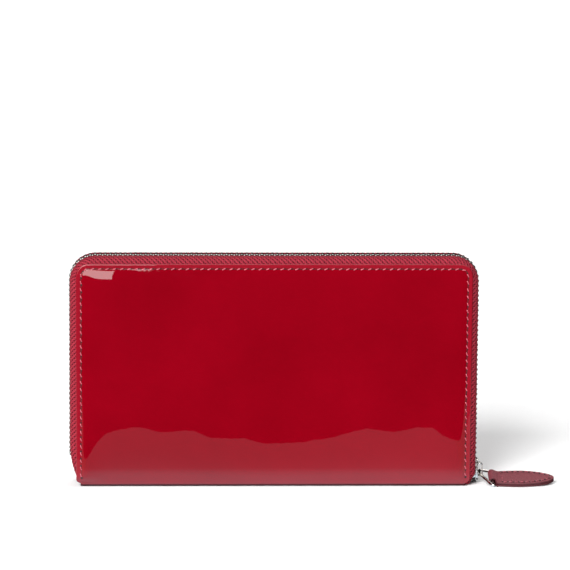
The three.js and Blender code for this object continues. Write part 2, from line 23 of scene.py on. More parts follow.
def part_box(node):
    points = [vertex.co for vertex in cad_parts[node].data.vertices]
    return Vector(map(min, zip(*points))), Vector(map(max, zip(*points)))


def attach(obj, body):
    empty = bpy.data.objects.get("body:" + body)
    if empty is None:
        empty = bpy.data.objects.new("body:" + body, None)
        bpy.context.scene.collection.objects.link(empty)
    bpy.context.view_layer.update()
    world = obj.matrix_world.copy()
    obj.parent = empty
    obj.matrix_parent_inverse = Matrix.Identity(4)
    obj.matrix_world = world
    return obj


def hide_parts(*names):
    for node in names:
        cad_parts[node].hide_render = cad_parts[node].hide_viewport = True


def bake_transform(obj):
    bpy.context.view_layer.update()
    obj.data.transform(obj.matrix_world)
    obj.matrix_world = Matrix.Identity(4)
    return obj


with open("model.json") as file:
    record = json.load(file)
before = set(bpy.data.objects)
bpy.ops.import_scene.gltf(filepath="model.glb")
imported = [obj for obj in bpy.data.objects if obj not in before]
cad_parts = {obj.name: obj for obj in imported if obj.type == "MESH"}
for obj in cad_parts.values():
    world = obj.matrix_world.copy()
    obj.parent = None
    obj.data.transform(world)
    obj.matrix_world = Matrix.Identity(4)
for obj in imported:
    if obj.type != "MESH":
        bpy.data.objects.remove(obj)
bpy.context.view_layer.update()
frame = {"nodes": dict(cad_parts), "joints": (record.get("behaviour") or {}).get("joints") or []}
LOG = logging.getLogger("wallet")
MM = 0.001
Array = np.ndarray


class Side(Enum):
    """The two halves of the wallet; the value is the sign of Y on that half."""

    FRONT = -1
    REAR = 1

    @property
    def label(self) -> str:
        """The word that names this half's nodes."""
        return self.name.lower()

    @property
    def body(self) -> str:
        """The body of the frame that this half rides on."""
        return f"{self.label}_half"


class End(Enum):
    """The two ends of the spine; the value is the sign of X."""

    LEFT = -1
    RIGHT = 1


# ---------- meshes ----------


def unit(vectors: Array) -> Array:
    """Vectors of length 1 in the same directions."""
    return vectors / np.linalg.norm(vectors, axis=-1, keepdims=True)


def run_of(path: Array) -> Array:
    """How far along a path of straight steps each of its points is."""
    return np.r_[0, np.cumsum(np.linalg.norm(np.diff(path, axis=0), axis=1))]


def sampled(path: Array, at: Array) -> Array:
    """The points of a path at given distances along it, on its straight steps."""
    run = run_of(path)
    return np.stack([np.interp(at, run, column) for column in path.T], axis=1)


def sideways(path: Array) -> tuple[Array, Array]:
    """Unit tangents of a plane path and the unit directions to their left."""
    tangent = unit(np.gradient(path, axis=0))
    return tangent, np.stack([-tangent[:, 1], tangent[:, 0]], axis=1)


def quarter_round(radius: float, count: int) -> Array:
    """Points of a quarter circle round the origin, from the first axis to the second."""
    angle = np.linspace(0, np.pi / 2, count)
    return np.stack([np.cos(angle), np.sin(angle)], axis=1) * radius


def mesh_object(name: str, verts: Array, *polygons: Array, smooth: bool = True) -> bpy.types.Object:
    """Makes an object from vertices and sets of polygons, with its faces pointing outwards.

    Args:
        name: the piece's name.
        verts: corners, one row of x, y, z each.
        polygons: arrays of vertex numbers, one row per polygon, each array of one size.
        smooth: whether the faces are shaded smooth.

    Returns:
        The new object, linked to the scene.
    """
    mesh = bpy.data.meshes.new(name)
    loops = np.concatenate([p.ravel() for p in polygons]).astype(np.int32)
    sizes = np.concatenate([np.full(len(p), p.shape[1]) for p in polygons]).astype(np.int32)
    mesh.vertices.add(len(verts))
    mesh.vertices.foreach_set("co", np.asarray(verts, np.float32).ravel())
    mesh.loops.add(len(loops))
    mesh.loops.foreach_set("vertex_index", loops)
    mesh.polygons.add(len(sizes))
    mesh.polygons.foreach_set("loop_start", np.r_[0, np.cumsum(sizes)[:-1]].astype(np.int32))
    mesh.polygons.foreach_set("use_smooth", np.full(len(sizes), smooth))
    mesh.update(calc_edges=True)
    mesh.validate()
    shape = bmesh.new()
    shape.from_mesh(mesh)
    bmesh.ops.recalc_face_normals(shape, faces=shape.faces)
    shape.to_mesh(mesh)
    shape.free()
    obj = bpy.data.objects.new(name, mesh)
    bpy.context.scene.collection.objects.link(obj)
    return obj


def grid_quads(rows: int, cols: int, loop_rows: bool = False, loop_cols: bool = False) -> Array:
    """Quads of a grid of points numbered row by row.

    Args:
        rows: how many rows of points.
        cols: how many points in a row.
        loop_rows: whether the last row joins the first.
        loop_cols: whether a row's last point joins its first.

    Returns:
        Vertex numbers, four to a quad.
    """
    r = np.arange(rows if loop_rows else rows - 1)
    c = np.arange(cols if loop_cols else cols - 1)
    r, c = [a.ravel() for a in np.meshgrid(r, c, indexing="ij")]
    r2, c2 = (r + 1) % rows, (c + 1) % cols
    return np.stack([r * cols + c, r * cols + c2, r2 * cols + c2, r2 * cols + c], axis=1)


def shell(name: str, outer: Array, inner: Array) -> bpy.types.Object:
    """A closed sheet between two grids of points, joined round their four edges.

    Args:
        name: the piece's name.
        outer: points of one face, as rows by columns by 3.
        inner: points of the other face, in the same order.

    Returns:
        The new object.
    """
    rows, cols = outer.shape[:2]
    count = rows * cols
    quads = grid_quads(rows, cols)
    ids = np.arange(count).reshape(rows, cols)
    edge = np.concatenate([ids[0, :-1], ids[:-1, -1], ids[-1, :0:-1], ids[:0:-1, 0]])
    after = np.roll(edge, -1)
    rim = np.stack([edge, after, after + count, edge + count], axis=1)
    verts = np.concatenate([outer.reshape(-1, 3), inner.reshape(-1, 3)])
    return mesh_object(name, verts, quads, quads[:, ::-1] + count, rim)


def end_caps(rows: int, sides: int) -> Array:
    """The first and last rings of a grid of rings, as the two polygons that close it."""
    return np.stack([np.arange(sides)[::-1], np.arange(sides) + (rows - 1) * sides])


def tube(name: str, path: Array, radius: Array | float, sides: int = 12, closed: bool = False,
         up: tuple[float, float, float] = (0, 0, 1)) -> bpy.types.Object:
    """A round section carried along a path: each ring is the path's point plus the radius
    times the cosine and sine of an angle along the two directions across the path.

    Args:
        name: the piece's name.
        path: points along the middle of the tube.
        radius: one radius, or one for each point.
        sides: points round the section.
        closed: whether the path joins its own start.
        up: a direction that the path never runs along.

    Returns:
        The new object.
    """
    if closed:
        tangent = unit(np.roll(path, -1, axis=0) - np.roll(path, 1, axis=0))
    else:
        tangent = unit(np.gradient(path, axis=0))
    across = unit(np.cross(tangent, np.array(up, float)))
    over = np.cross(across, tangent)
    angle = np.linspace(0, 2 * np.pi, sides, endpoint=False)
    radius = np.broadcast_to(np.asarray(radius, float), len(path))[:, None, None]
    rings = path[:, None] + radius * (
        np.cos(angle)[None, :, None] * across[:, None] + np.sin(angle)[None, :, None] * over[:, None])
    quads = grid_quads(len(path), sides, loop_rows=closed, loop_cols=True)
    caps = [] if closed else [end_caps(len(path), sides)]
    return mesh_object(name, rings.reshape(-1, 3), quads, *caps)


def copies(name: str, base: Array, faces: list[Array], axes: Array, origins: Array) -> bpy.types.Object:
    """Many turned copies of one small shape, as one object.

    Args:
        name: the piece's name.
        base: the shape's vertices, m by 3.
        faces: the shape's polygons, each array of one size.
        axes: for each copy the directions of the shape's x, y and z, n by 3 by 3.
        origins: for each copy its place, n by 3.

    Returns:
        The new object.
    """
    verts = (np.einsum("mk,nkj->nmj", base, axes) + origins[:, None]).reshape(-1, 3)
    step = (np.arange(len(origins)) * len(base))[:, None, None]
    return mesh_object(name, verts, *((part[None] + step).reshape(-1, part.shape[1]) for part in faces))


def loft(sections: list[tuple[float, float, float]]) -> tuple[Array, list[Array]]:
    """An eight-sided block along Y, given by its half sizes at several depths.

    Args:
        sections: depth, half width in X and half width in Z at each section, in millimetres.

    Returns:
        Vertices, and the side quads and end caps.
    """
    keep = 0.65
    ring = np.array([(1, keep), (keep, 1), (-keep, 1), (-1, keep),
                     (-1, -keep), (-keep, -1), (keep, -1), (1, -keep)])
    depth, half_x, half_z = np.array(sections, float).T * MM
    verts = np.stack([
        half_x[:, None] * ring[:, 0],
        np.repeat(depth[:, None], 8, axis=1),
        half_z[:, None] * ring[:, 1],
    ], axis=2)
    return verts.reshape(-1, 3), [grid_quads(len(sections), 8, loop_cols=True), end_caps(len(sections), 8)]


def prism(name: str, outline: Array, low: float, high: float, bevel: float,
          axes: tuple[int, int, int]) -> bpy.types.Object:
    """A flat outline given thickness, with its edges rounded by a bevel.

    Args:
        name: the piece's name.
        outline: points of the outline, n by 2.
        low: where the thickness starts.
        high: where it ends.
        bevel: the bevel's width.
        axes: which of x, y, z the outline's first and second numbers and the thickness are.

    Returns:
        The new object, with the bevel as a modifier.
    """
    count = len(outline)
    verts = np.zeros((2 * count, 3))
    verts[:, axes[0]] = np.tile(outline[:, 0], 2)
    verts[:, axes[1]] = np.tile(outline[:, 1], 2)
    verts[:, axes[2]] = np.repeat([low, high], count)
    ring = np.arange(count)
    after = np.roll(ring, -1)
    walls = np.stack([ring, after, after + count, ring + count], axis=1)
    obj = mesh_object(name, verts, walls, ring[None, ::-1], ring[None] + count)
    edges = obj.modifiers.new("edges", "BEVEL")
    edges.width = bevel
    edges.segments = 3
    edges.limit_method = "ANGLE"
    edges.angle_limit = math.radians(30)
    edges.harden_normals = True
    return obj


def join(name: str, *objs: bpy.types.Object) -> bpy.types.Object:
    """Puts several meshes, their modifiers applied, into one object.

    Args:
        name: the new piece's name.
        objs: the objects, which are used up.

    Returns:
        The new object.
    """
    bpy.context.view_layer.update()
    graph = bpy.context.evaluated_depsgraph_get()
    shape = bmesh.new()
    for obj in objs:
        part = bpy.data.meshes.new_from_object(obj.evaluated_get(graph))
        shape.from_mesh(part)
        bpy.data.meshes.remove(part)
    mesh = bpy.data.meshes.new(name)
    shape.to_mesh(mesh)
    shape.free()
    for obj in objs:
        bpy.data.objects.remove(obj)
    whole = bpy.data.objects.new(name, mesh)
    bpy.context.scene.collection.objects.link(whole)
    return whole


def smoothstep(value: Array) -> Array:
    """Rises smoothly from 0 at 0 to 1 at 1 and is flat beyond: 3 t squared less 2 t cubed."""
    t = np.clip(value, 0, 1)
    return t * t * (3 - 2 * t)


def hump(away: Array, width: float) -> Array:
    """A smooth hump, 1 where the distance is 0: e to the less square of distance over width."""
    return np.exp(-((away / width) ** 2))


def paint(obj: bpy.types.Object, name: str, values: Array) -> None:
    """Stores one number for each vertex as a named attribute that a finish can read.

    Args:
        obj: the piece.
        name: the attribute's name.
        values: one number for each vertex.
    """
    layer = obj.data.attributes.new(name, "FLOAT", "POINT")
    layer.data.foreach_set("value", np.asarray(values, np.float32).ravel())


# ---------- finishes ----------


class Nodes:
    """A material's node tree, with short ways to add nodes and join them."""

    def __init__(self, name: str) -> None:
        """Starts a material with one Principled shader.

        Args:
            name: the material's name.
        """
        self.material = bpy.data.materials.new(name)
        self.material.use_nodes = True
        self.tree = self.material.node_tree
        self.shader = self.tree.nodes["Principled BSDF"]

    def add(self, kind: str, settings: dict | None = None, **sockets: object) -> bpy.types.Node:
        """Adds a node.

        Args:
            kind: the node's type, without its "ShaderNode" start.
            settings: the node's own properties.
            sockets: input values or linked outputs; a name's underscores stand for spaces.

        Returns:
            The node.
        """
        node = self.tree.nodes.new("ShaderNode" + kind)
        for key, value in (settings or {}).items():
            setattr(node, key, value)
        for key, value in sockets.items():
            self.put(node.inputs[key.replace("_", " ")], value)
        return node

    def put(self, socket: bpy.types.NodeSocket, value: object) -> None:
        """Sets an input to a value, or links an output to it."""
        if isinstance(value, bpy.types.NodeSocket):
            self.tree.links.new(value, socket)
        else:
            socket.default_value = value

    def surface(self, **sockets: object) -> None:
        """Sets the Principled shader's own inputs, or links outputs to them."""
        for key, value in sockets.items():
            self.put(self.shader.inputs[key.replace("_", " ")], value)

    def place(self, scale: tuple[float, float, float] = (1, 1, 1),
              turn: tuple[float, float, float] = (0, 0, 0)) -> bpy.types.NodeSocket:
        """The piece's object coordinates, scaled and turned."""
        coordinates = self.add("TexCoord")
        mapping = self.add("Mapping", Vector=coordinates.outputs["Object"], Scale=scale, Rotation=turn)
        return mapping.outputs["Vector"]

    def noise(self, vector: bpy.types.NodeSocket, scale: float, detail: float = 3,
              roughness: float = 0.55) -> bpy.types.NodeSocket:
        """A noise pattern's number at each point."""
        node = self.add("TexNoise", Vector=vector, Scale=scale, Detail=detail, Roughness=roughness)
        return node.outputs["Fac"]

    def painted(self, name: str) -> bpy.types.NodeSocket:
        """The number that the piece stores at each point under a name, or 0."""
        return self.add("Attribute", {"attribute_name": name}).outputs["Fac"]

    def math(self, operation: str, *values: object) -> bpy.types.NodeSocket:
        """One step of arithmetic on numbers or outputs."""
        node = self.add("Math", {"operation": operation})
        for socket, value in zip(node.inputs, values):
            self.put(socket, value)
        return node.outputs[0]

    def ramp(self, factor: bpy.types.NodeSocket, stops: list[tuple[float, tuple]]) -> bpy.types.NodeSocket:
        """A colour for each value of a number.

        Args:
            factor: the number.
            stops: positions from 0 to 1 with a colour of three numbers each.

        Returns:
            The colour output.
        """
        node = self.add("ValToRGB", Fac=factor)
        ramp = node.color_ramp
        for element, (position, colour) in zip((ramp.elements[0], ramp.elements[1]), (stops[0], stops[-1])):
            element.position = position
            element.color = (*colour, 1)
        for position, colour in stops[1:-1]:
            ramp.elements.new(position).color = (*colour, 1)
        return node.outputs["Color"]

    def blend(self, factor: object, a: object, b: object) -> bpy.types.NodeSocket:
        """A mix of two colours, all a at factor 0 and all b at 1."""
        node = self.add("Mix", {"data_type": "RGBA"})
        for socket, value in zip((node.inputs[0], node.inputs[6], node.inputs[7]), (factor, a, b)):
            if isinstance(value, tuple):
                value = (*value, 1)
            self.put(socket, value)
        return node.outputs[2]

    def bump(self, height: bpy.types.NodeSocket, depth: float, strength: float = 1.0,
             under: bpy.types.NodeSocket | None = None) -> bpy.types.NodeSocket:
        """A surface normal tilted by a height pattern of a given depth in metres."""
        node = self.add("Bump", Height=height, Distance=depth, Strength=strength)
        if under is not None:
            self.put(node.inputs["Normal"], under)
        return node.outputs["Normal"]


@dataclass(frozen=True)
class PatentFinish:
    """Lacquered leather: a deep colour under a clear coat that is nearly flat."""

    colour: tuple[float, float, float] = (0.180, 0.0005, 0.0053)
    deep: tuple[float, float, float] = (0.158, 0.0004, 0.0044)
    pressed: tuple[float, float, float] = (0.205, 0.0050, 0.0130)
    # Dark colour of the painted contact shade on the turn where the wallet stands.
    contact_shade_colour: tuple[float, float, float] = (0.050, 0.0140, 0.0170)

    def material(self) -> bpy.types.Material:
        """Colour clouds, a pressed band beyond the stitching, painted contact shade that darkens the turn
        where the wallet stands, and a faint orange peel."""
        nodes = Nodes("patent_leather")
        place = nodes.place()
        cloud = nodes.ramp(nodes.noise(place, 22, 2), [(0.35, self.deep), (0.65, self.colour)])
        pressed = nodes.blend(nodes.painted("pressed"), cloud, self.pressed)
        # Painted contact shade: the turn where the wallet stands is darkened, in place of the shade at the
        # floor.
        colour = nodes.blend(nodes.painted("wear_and_contact_shade"), pressed, self.contact_shade_colour)
        peel = nodes.noise(place, 260, 2, 0.4)
        ripple = nodes.noise(place, 55, 1, 0.4)
        normal = nodes.bump(peel, 0.000012, 0.6, nodes.bump(ripple, 0.00012, 0.35))
        speck = nodes.noise(place, 1800, 2)
        base = nodes.bump(speck, 0.00002, 0.25)
        nodes.surface(Base_Color=colour, Roughness=0.42, Specular_IOR_Level=0.0, Coat_Weight=1.0,
                      Coat_Roughness=0.018, Coat_IOR=1.5, Normal=base)
        nodes.put(nodes.shader.inputs["Coat Normal"], normal)
        return nodes.material


@dataclass(frozen=True)
class GrainFinish:
    """Leather with an open grain: small cells with creases between them."""

    name: str
    colour: tuple[float, float, float]
    crease: tuple[float, float, float]
    edge: tuple[float, float, float]
    cell: float
    depth: float
    roughness: float

    def material(self) -> bpy.types.Material:
        """Voronoi cells for the grain, noise for the hide's clouds, darker painted edges, and painted shade
        on faces that a piece marks like an edge.
        """
        nodes = Nodes(self.name)
        place = nodes.place()
        cells = nodes.add("TexVoronoi", {"feature": "DISTANCE_TO_EDGE"}, Vector=place, Scale=1 / self.cell)
        crease = nodes.math("MINIMUM", nodes.math("MULTIPLY", cells.outputs["Distance"], 4.0), 1.0)
        fine = nodes.noise(place, 2600, 3)
        height = nodes.math("ADD", crease, nodes.math("MULTIPLY", fine, 0.5))
        hide = nodes.blend(nodes.noise(place, 90, 3), self.colour, tuple(c * 0.8 for c in self.colour))
        grain = nodes.blend(crease, self.crease, hide)
        colour = nodes.blend(nodes.painted("rim"), grain, self.edge)
        wear_and_contact_shade = nodes.math("MULTIPLY_ADD", nodes.noise(place, 200, 2), 0.16, self.roughness - 0.08)
        nodes.surface(Base_Color=colour, Roughness=wear_and_contact_shade, Normal=nodes.bump(height, self.depth, 0.7),
                      Specular_IOR_Level=0.4)
        return nodes.material


@dataclass(frozen=True)
class ClothFinish:
    """Woven cloth: threads that cross at right angles or run in diagonal ribs."""

    name: str
    light: tuple[float, float, float]
    dark: tuple[float, float, float]
    thread: float
    turn: tuple[float, float, float] = (0, 0, 0)
    sheen: float = 0.25

    def material(self) -> bpy.types.Material:
        """Two bands of threads across each other, painted shade where a piece marks its hollows, a soft cloud
        of wear and a light sheen.
        """
        nodes = Nodes(self.name)
        place = nodes.place(turn=self.turn)
        scale = 1 / (self.thread * 2 * math.pi)
        warp = nodes.add("TexWave", {"bands_direction": "X"}, Vector=place, Scale=scale, Distortion=0.6)
        weft = nodes.add("TexWave", {"bands_direction": "Z"}, Vector=place, Scale=scale, Distortion=0.6)
        weave = nodes.math("MULTIPLY", warp.outputs["Fac"], weft.outputs["Fac"])
        fuzz = nodes.noise(place, 3000, 2)
        tone = nodes.math("MULTIPLY_ADD", fuzz, 0.35, nodes.math("MULTIPLY", weave, 0.65))
        colour = nodes.ramp(tone, [(0.1, self.dark), (0.75, self.light)])
        # Painted shade: where a piece marks hollows, the colour is darkened towards a third of the dark
        # thread colour.
        ribbed = nodes.blend(nodes.painted("painted_hollow_shade"), colour, tuple(c * 0.35 for c in self.dark))
        wear = nodes.blend(nodes.math("MULTIPLY", nodes.noise(place, 120, 2), 0.3), ribbed, self.dark)
        nodes.surface(Base_Color=wear, Roughness=0.82, Sheen_Weight=self.sheen, Sheen_Roughness=0.4,
                      Specular_IOR_Level=0.05, Normal=nodes.bump(weave, self.thread * 0.35, 0.8))
        return nodes.material


@dataclass(frozen=True)
class MetalFinish:
    """Plated metal, bright, with fine rub marks."""

    name: str
    colour: tuple[float, float, float]
    roughness: float

    def material(self) -> bpy.types.Material:
        """Noise in the roughness for handling, and stretched noise for rub marks."""
        nodes = Nodes(self.name)
        place = nodes.place()
        rub = nodes.noise(nodes.place(scale=(1, 6, 1)), 900, 3)
        dull = nodes.blend(nodes.noise(place, 320, 2), self.colour, tuple(c * 0.78 for c in self.colour))
        rough = nodes.math("MULTIPLY_ADD", rub, 0.14, self.roughness - 0.07)
        nodes.surface(Base_Color=dull, Metallic=1.0, Roughness=rough, Normal=nodes.bump(rub, 0.000006, 0.4))
        return nodes.material


@dataclass(frozen=True)
class ThreadFinish:
    """Twisted sewing thread."""

    name: str
    colour: tuple[float, float, float]

    def material(self) -> bpy.types.Material:
        """Slanting bands for the twist."""
        nodes = Nodes(self.name)
        place = nodes.place(turn=(0, math.radians(35), 0))
        twist = nodes.add("TexWave", {"bands_direction": "DIAGONAL"}, Vector=place, Scale=420, Distortion=1)
        colour = nodes.blend(twist.outputs["Fac"], tuple(c * 0.55 for c in self.colour), self.colour)
        nodes.surface(Base_Color=colour, Roughness=0.3, Specular_IOR_Level=0.6,
                      Normal=nodes.bump(twist.outputs["Fac"], 0.00004, 0.7))
        return nodes.material


@dataclass(frozen=True)
class BoardFinish:
    """Pressed grey board with long fibres."""

    name: str = "grey_board"

    def material(self) -> bpy.types.Material:
        """Stretched noise for fibres over a mottled grey."""
        nodes = Nodes(self.name)
        fibres = nodes.noise(nodes.place(scale=(1, 1, 5)), 900, 4)
        colour = nodes.ramp(fibres, [(0.3, (0.16, 0.145, 0.12)), (0.7, (0.31, 0.29, 0.25))])
        nodes.surface(Base_Color=colour, Roughness=0.92, Normal=nodes.bump(fibres, 0.00004, 0.6))
        return nodes.material


class Finishes:
    """One material of each kind, shared by the pieces."""

    def __init__(self) -> None:
        """Makes every material once."""
        self.patent = PatentFinish().material()
        self.lining = GrainFinish(
            "lining_leather", colour=(0.30, 0.010, 0.026), crease=(0.16, 0.004, 0.012),
            edge=(0.15, 0.006, 0.014), cell=0.45 * MM, depth=0.02 * MM, roughness=0.46).material()
        self.pull = GrainFinish(
            "pull_leather", colour=(0.195, 0.030, 0.044), crease=(0.10, 0.011, 0.018),
            edge=(0.060, 0.005, 0.010), cell=0.62 * MM, depth=0.07 * MM, roughness=0.6).material()
        # Near black: painted shade inside the needle holes.
        self.hole = GrainFinish(
            "stitch_hole_shade", colour=(0.022, 0.001, 0.003), crease=(0.01, 0.001, 0.002),
            edge=(0.02, 0.001, 0.002), cell=0.2 * MM, depth=0.01 * MM, roughness=0.7).material()
        self.tape = ClothFinish(
            "zip_tape_cloth", light=(0.70, 0.070, 0.110), dark=(0.11, 0.004, 0.010),
            thread=0.16 * MM, turn=(0, math.radians(45), 0), sheen=0.0).material()
        self.pocket = ClothFinish(
            "pocket_cloth", light=(0.25, 0.016, 0.034), dark=(0.10, 0.004, 0.012),
            thread=0.2 * MM).material()
        self.nickel = MetalFinish("nickel", colour=(0.78, 0.75, 0.71), roughness=0.16).material()
        self.teeth = MetalFinish("teeth_nickel", colour=(0.27, 0.26, 0.25), roughness=0.16).material()
        # The cover thread is lighter and pinker than the leather: a painted highlight in place of the glints
        # on the thread.
        self.thread = ThreadFinish("sewing_thread", colour=(0.56, 0.100, 0.138)).material()
        self.pull_thread = ThreadFinish("pull_thread", colour=(0.36, 0.075, 0.100)).material()
        self.board = BoardFinish().material()


def dress(obj: bpy.types.Object, material: bpy.types.Material, body: str, slot: str,
          *nodes: str, ride: bool = True) -> bpy.types.Object:
    """Gives a piece its finish and its body, and reports it.

    Args:
        obj: the piece.
        material: its finish.
        body: the body that it rides on.
        slot: the record's material slot; not used.
        nodes: the CAD nodes that it stands for.
        ride: False for a piece that isn't put on its body.

    Returns:
        The same piece.
    """
    obj.data.materials.clear()
    obj.data.materials.append(material)
    if ride:
        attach(obj, body)
    if nodes:
        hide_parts(*nodes)
    LOG.info("%s: %d faces, on %s", obj.name, len(obj.data.polygons), body)
    return obj


# ---------- shapes shared by several pieces ----------


@dataclass
class Outline:
    """A rounded rectangle that stands in X and Z."""

    half: float
    low: float
    high: float
    upper: float
    lower: float

    def width(self, z: Array) -> Array:
        """Half the width at a height: the full half, less what a corner's circle takes."""
        over = np.clip(z - (self.high - self.upper), 0, self.upper)
        under = np.clip(self.low + self.lower - z, 0, self.lower)
        return (self.half - self.upper + np.sqrt(self.upper ** 2 - over ** 2)
                - self.lower + np.sqrt(self.lower ** 2 - under ** 2))

    def inset(self, x: Array, z: Array, open_foot: bool = False) -> Array:
        """How far a point is inside the outline, measured to its nearest side.

        Args:
            x: places along X.
            z: heights.
            open_foot: whether the lower side doesn't count.

        Returns:
            The distances.
        """
        side = np.abs(x) - (self.half - self.upper)
        top = z - (self.high - self.upper)
        round_part = np.hypot(np.maximum(side, 0), np.maximum(top, 0))
        inset = self.upper - round_part - np.minimum(np.maximum(side, top), 0)
        if not open_foot:
            inset = np.minimum(inset, z - self.low)
        return np.minimum(inset, self.width(z) - np.abs(x))

    def rows(self, step: float, fine: Array, open_foot: bool = False) -> Array:
        """Heights of rows, close together near the upper and lower edges.

        Args:
            step: the distance between rows away from the edges.
            fine: distances from an edge, from 0 up, where rows stand close.
            open_foot: whether the lower edge has no close rows.

        Returns:
            The heights, rising.
        """
        low = self.low if open_foot else self.low + fine[-1]
        count = max(int((self.high - fine[-1] - low) / step), 2)
        middle = np.linspace(low, self.high - fine[-1], count)
        parts = [middle, self.high - fine[-2::-1]]
        if not open_foot:
            parts.insert(0, self.low + fine[:-1])
        return np.concatenate(parts)

    def columns(self, z: Array, step: float, fine: Array) -> Array:
        """X of each point of each row, close together near the two sides.

        Args:
            z: the rows' heights.
            step: the distance between columns away from the sides.
            fine: distances from a side, from 0 up.

        Returns:
            One row of X for each height.
        """
        width = self.width(z)[:, None]
        count = max(int(2 * (self.half - fine[-1]) / step), 2)
        middle = np.linspace(-1, 1, count)[None] * (width - fine[-1])
        left = -width + fine[None, :-1]
        return np.concatenate([left, middle, -left[:, ::-1]], axis=1)


FINE = np.array([0, 0.05, 0.12, 0.22, 0.35, 0.5, 0.7, 1.0, 1.3, 1.6, 1.9, 2.1, 2.3, 2.5, 2.7,
                 3.0, 3.4, 4.0, 4.8, 6.0, 7.5, 9.0]) * MM


def roundover(inset: Array, radius: float) -> Array:
    """How far a rounded edge drops below the face: a quarter circle of that radius."""
    t = np.clip(1 - inset / radius, 0, 1)
    return radius * (1 - np.sqrt(1 - t * t))


def stitch_shape(length: float, radius: float, slant: float) -> tuple[Array, Array]:
    """One stitch: a thread that rises from one hole and dives into the next, laid along X
    and slanting across Y. Its height is a flat-topped arch and its section an octagon.

    Args:
        length: from hole to hole.
        radius: the thread's.
        slant: how far the thread's end lies to the side of its start.

    Returns:
        Vertices and quads.
    """
    t = np.linspace(-1, 1, 7)
    middle = np.stack([t * length / 2, t * slant / 2, radius * (0.75 - 1.9 * t ** 4)], axis=1)
    angle = np.linspace(0, 2 * np.pi, 7)[:-1]
    size = radius * (1 - 0.35 * t ** 4)
    ring = np.stack([np.zeros(6), np.cos(angle), np.sin(angle)], axis=1)
    verts = middle[:, None] + size[:, None, None] * ring[None]
    return verts.reshape(-1, 3), grid_quads(7, 6, loop_cols=True)


def dimple_shape(radius: float, depth: float) -> tuple[Array, Array]:
    """A needle hole: a round dish with a raised lip, closed underneath, which its finish paints dark as
    painted shade in the hole.

    Args:
        radius: the dish's.
        depth: how deep its middle is.

    Returns:
        Vertices and quads, the middle closed by a small square.
    """
    rings = np.array([[1.0, -0.6], [0.86, 0.9], [0.6, 0.5], [0.25, 0.3]])
    angle = np.linspace(0, 2 * np.pi, 9)[:-1]
    verts = np.stack([
        rings[:, :1] * np.cos(angle) * radius,
        rings[:, :1] * np.sin(angle) * radius,
        np.repeat(rings[:, 1:], 8, axis=1) * depth,
    ], axis=2)
    floor = np.array([[24, 25, 26, 27], [24, 27, 28, 31], [28, 29, 30, 31]])
    return verts.reshape(-1, 3), np.concatenate([grid_quads(4, 8, loop_cols=True), floor])


@dataclass
class Seam:
    """A row of slanted stitches along a line that lies on a piece's surface."""

    pitch: float = 3.45 * MM
    length: float = 1.9 * MM
    radius: float = 0.27 * MM
    slant: float = 0.8 * MM
    hole: float = 0.58 * MM

    def places(self, path: Array) -> tuple[Array, Array]:
        """Evenly spaced points along a path of straight steps, and the headings there.

        Args:
            path: the line's points, n by 2 or by 3.

        Returns:
            The points and unit headings.
        """
        whole = run_of(path)[-1]
        count = int(whole / self.pitch)
        at = (np.arange(count) + 0.5) * whole / count
        near = 0.2 * MM
        return sampled(path, at), unit(sampled(path, at + near) - sampled(path, at - near))

    def build(self, name: str, spots: Array, heading: Array, normal: Array, thread: bpy.types.Material,
              hole: bpy.types.Material, body: str, slot: str) -> None:
        """Sews the threads and their needle holes at given places.

        Args:
            name: the threads' name; the holes' name adds "_holes".
            spots: the stitches' middles, on the surface.
            heading: unit directions along the seam.
            normal: unit directions away from the surface.
            thread: the threads' finish.
            hole: the holes' finish.
            body: the body that they ride on.
            slot: the record's material slot.
        """
        side = np.cross(normal, heading)
        axes = np.stack([heading, side, normal], axis=1)
        base, quads = stitch_shape(self.length, self.radius, self.slant)
        threads = copies(name, base, [quads], axes, spots)
        reach = heading * self.length * 0.62 + side * self.slant * 0.3
        ends = np.concatenate([spots - reach, spots + reach])
        # The holes are small dishes painted dark, as painted shade in the needle holes.
        dish, faces = dimple_shape(self.hole, 0.07 * MM)
        lift = np.concatenate([normal, normal]) * 0.02 * MM
        holes = copies(name + "_holes", dish, [faces], np.concatenate([axes, axes]), ends + lift)
        dress(threads, thread, body, slot)
        dress(holes, hole, body, slot)


# ---------- covers ----------


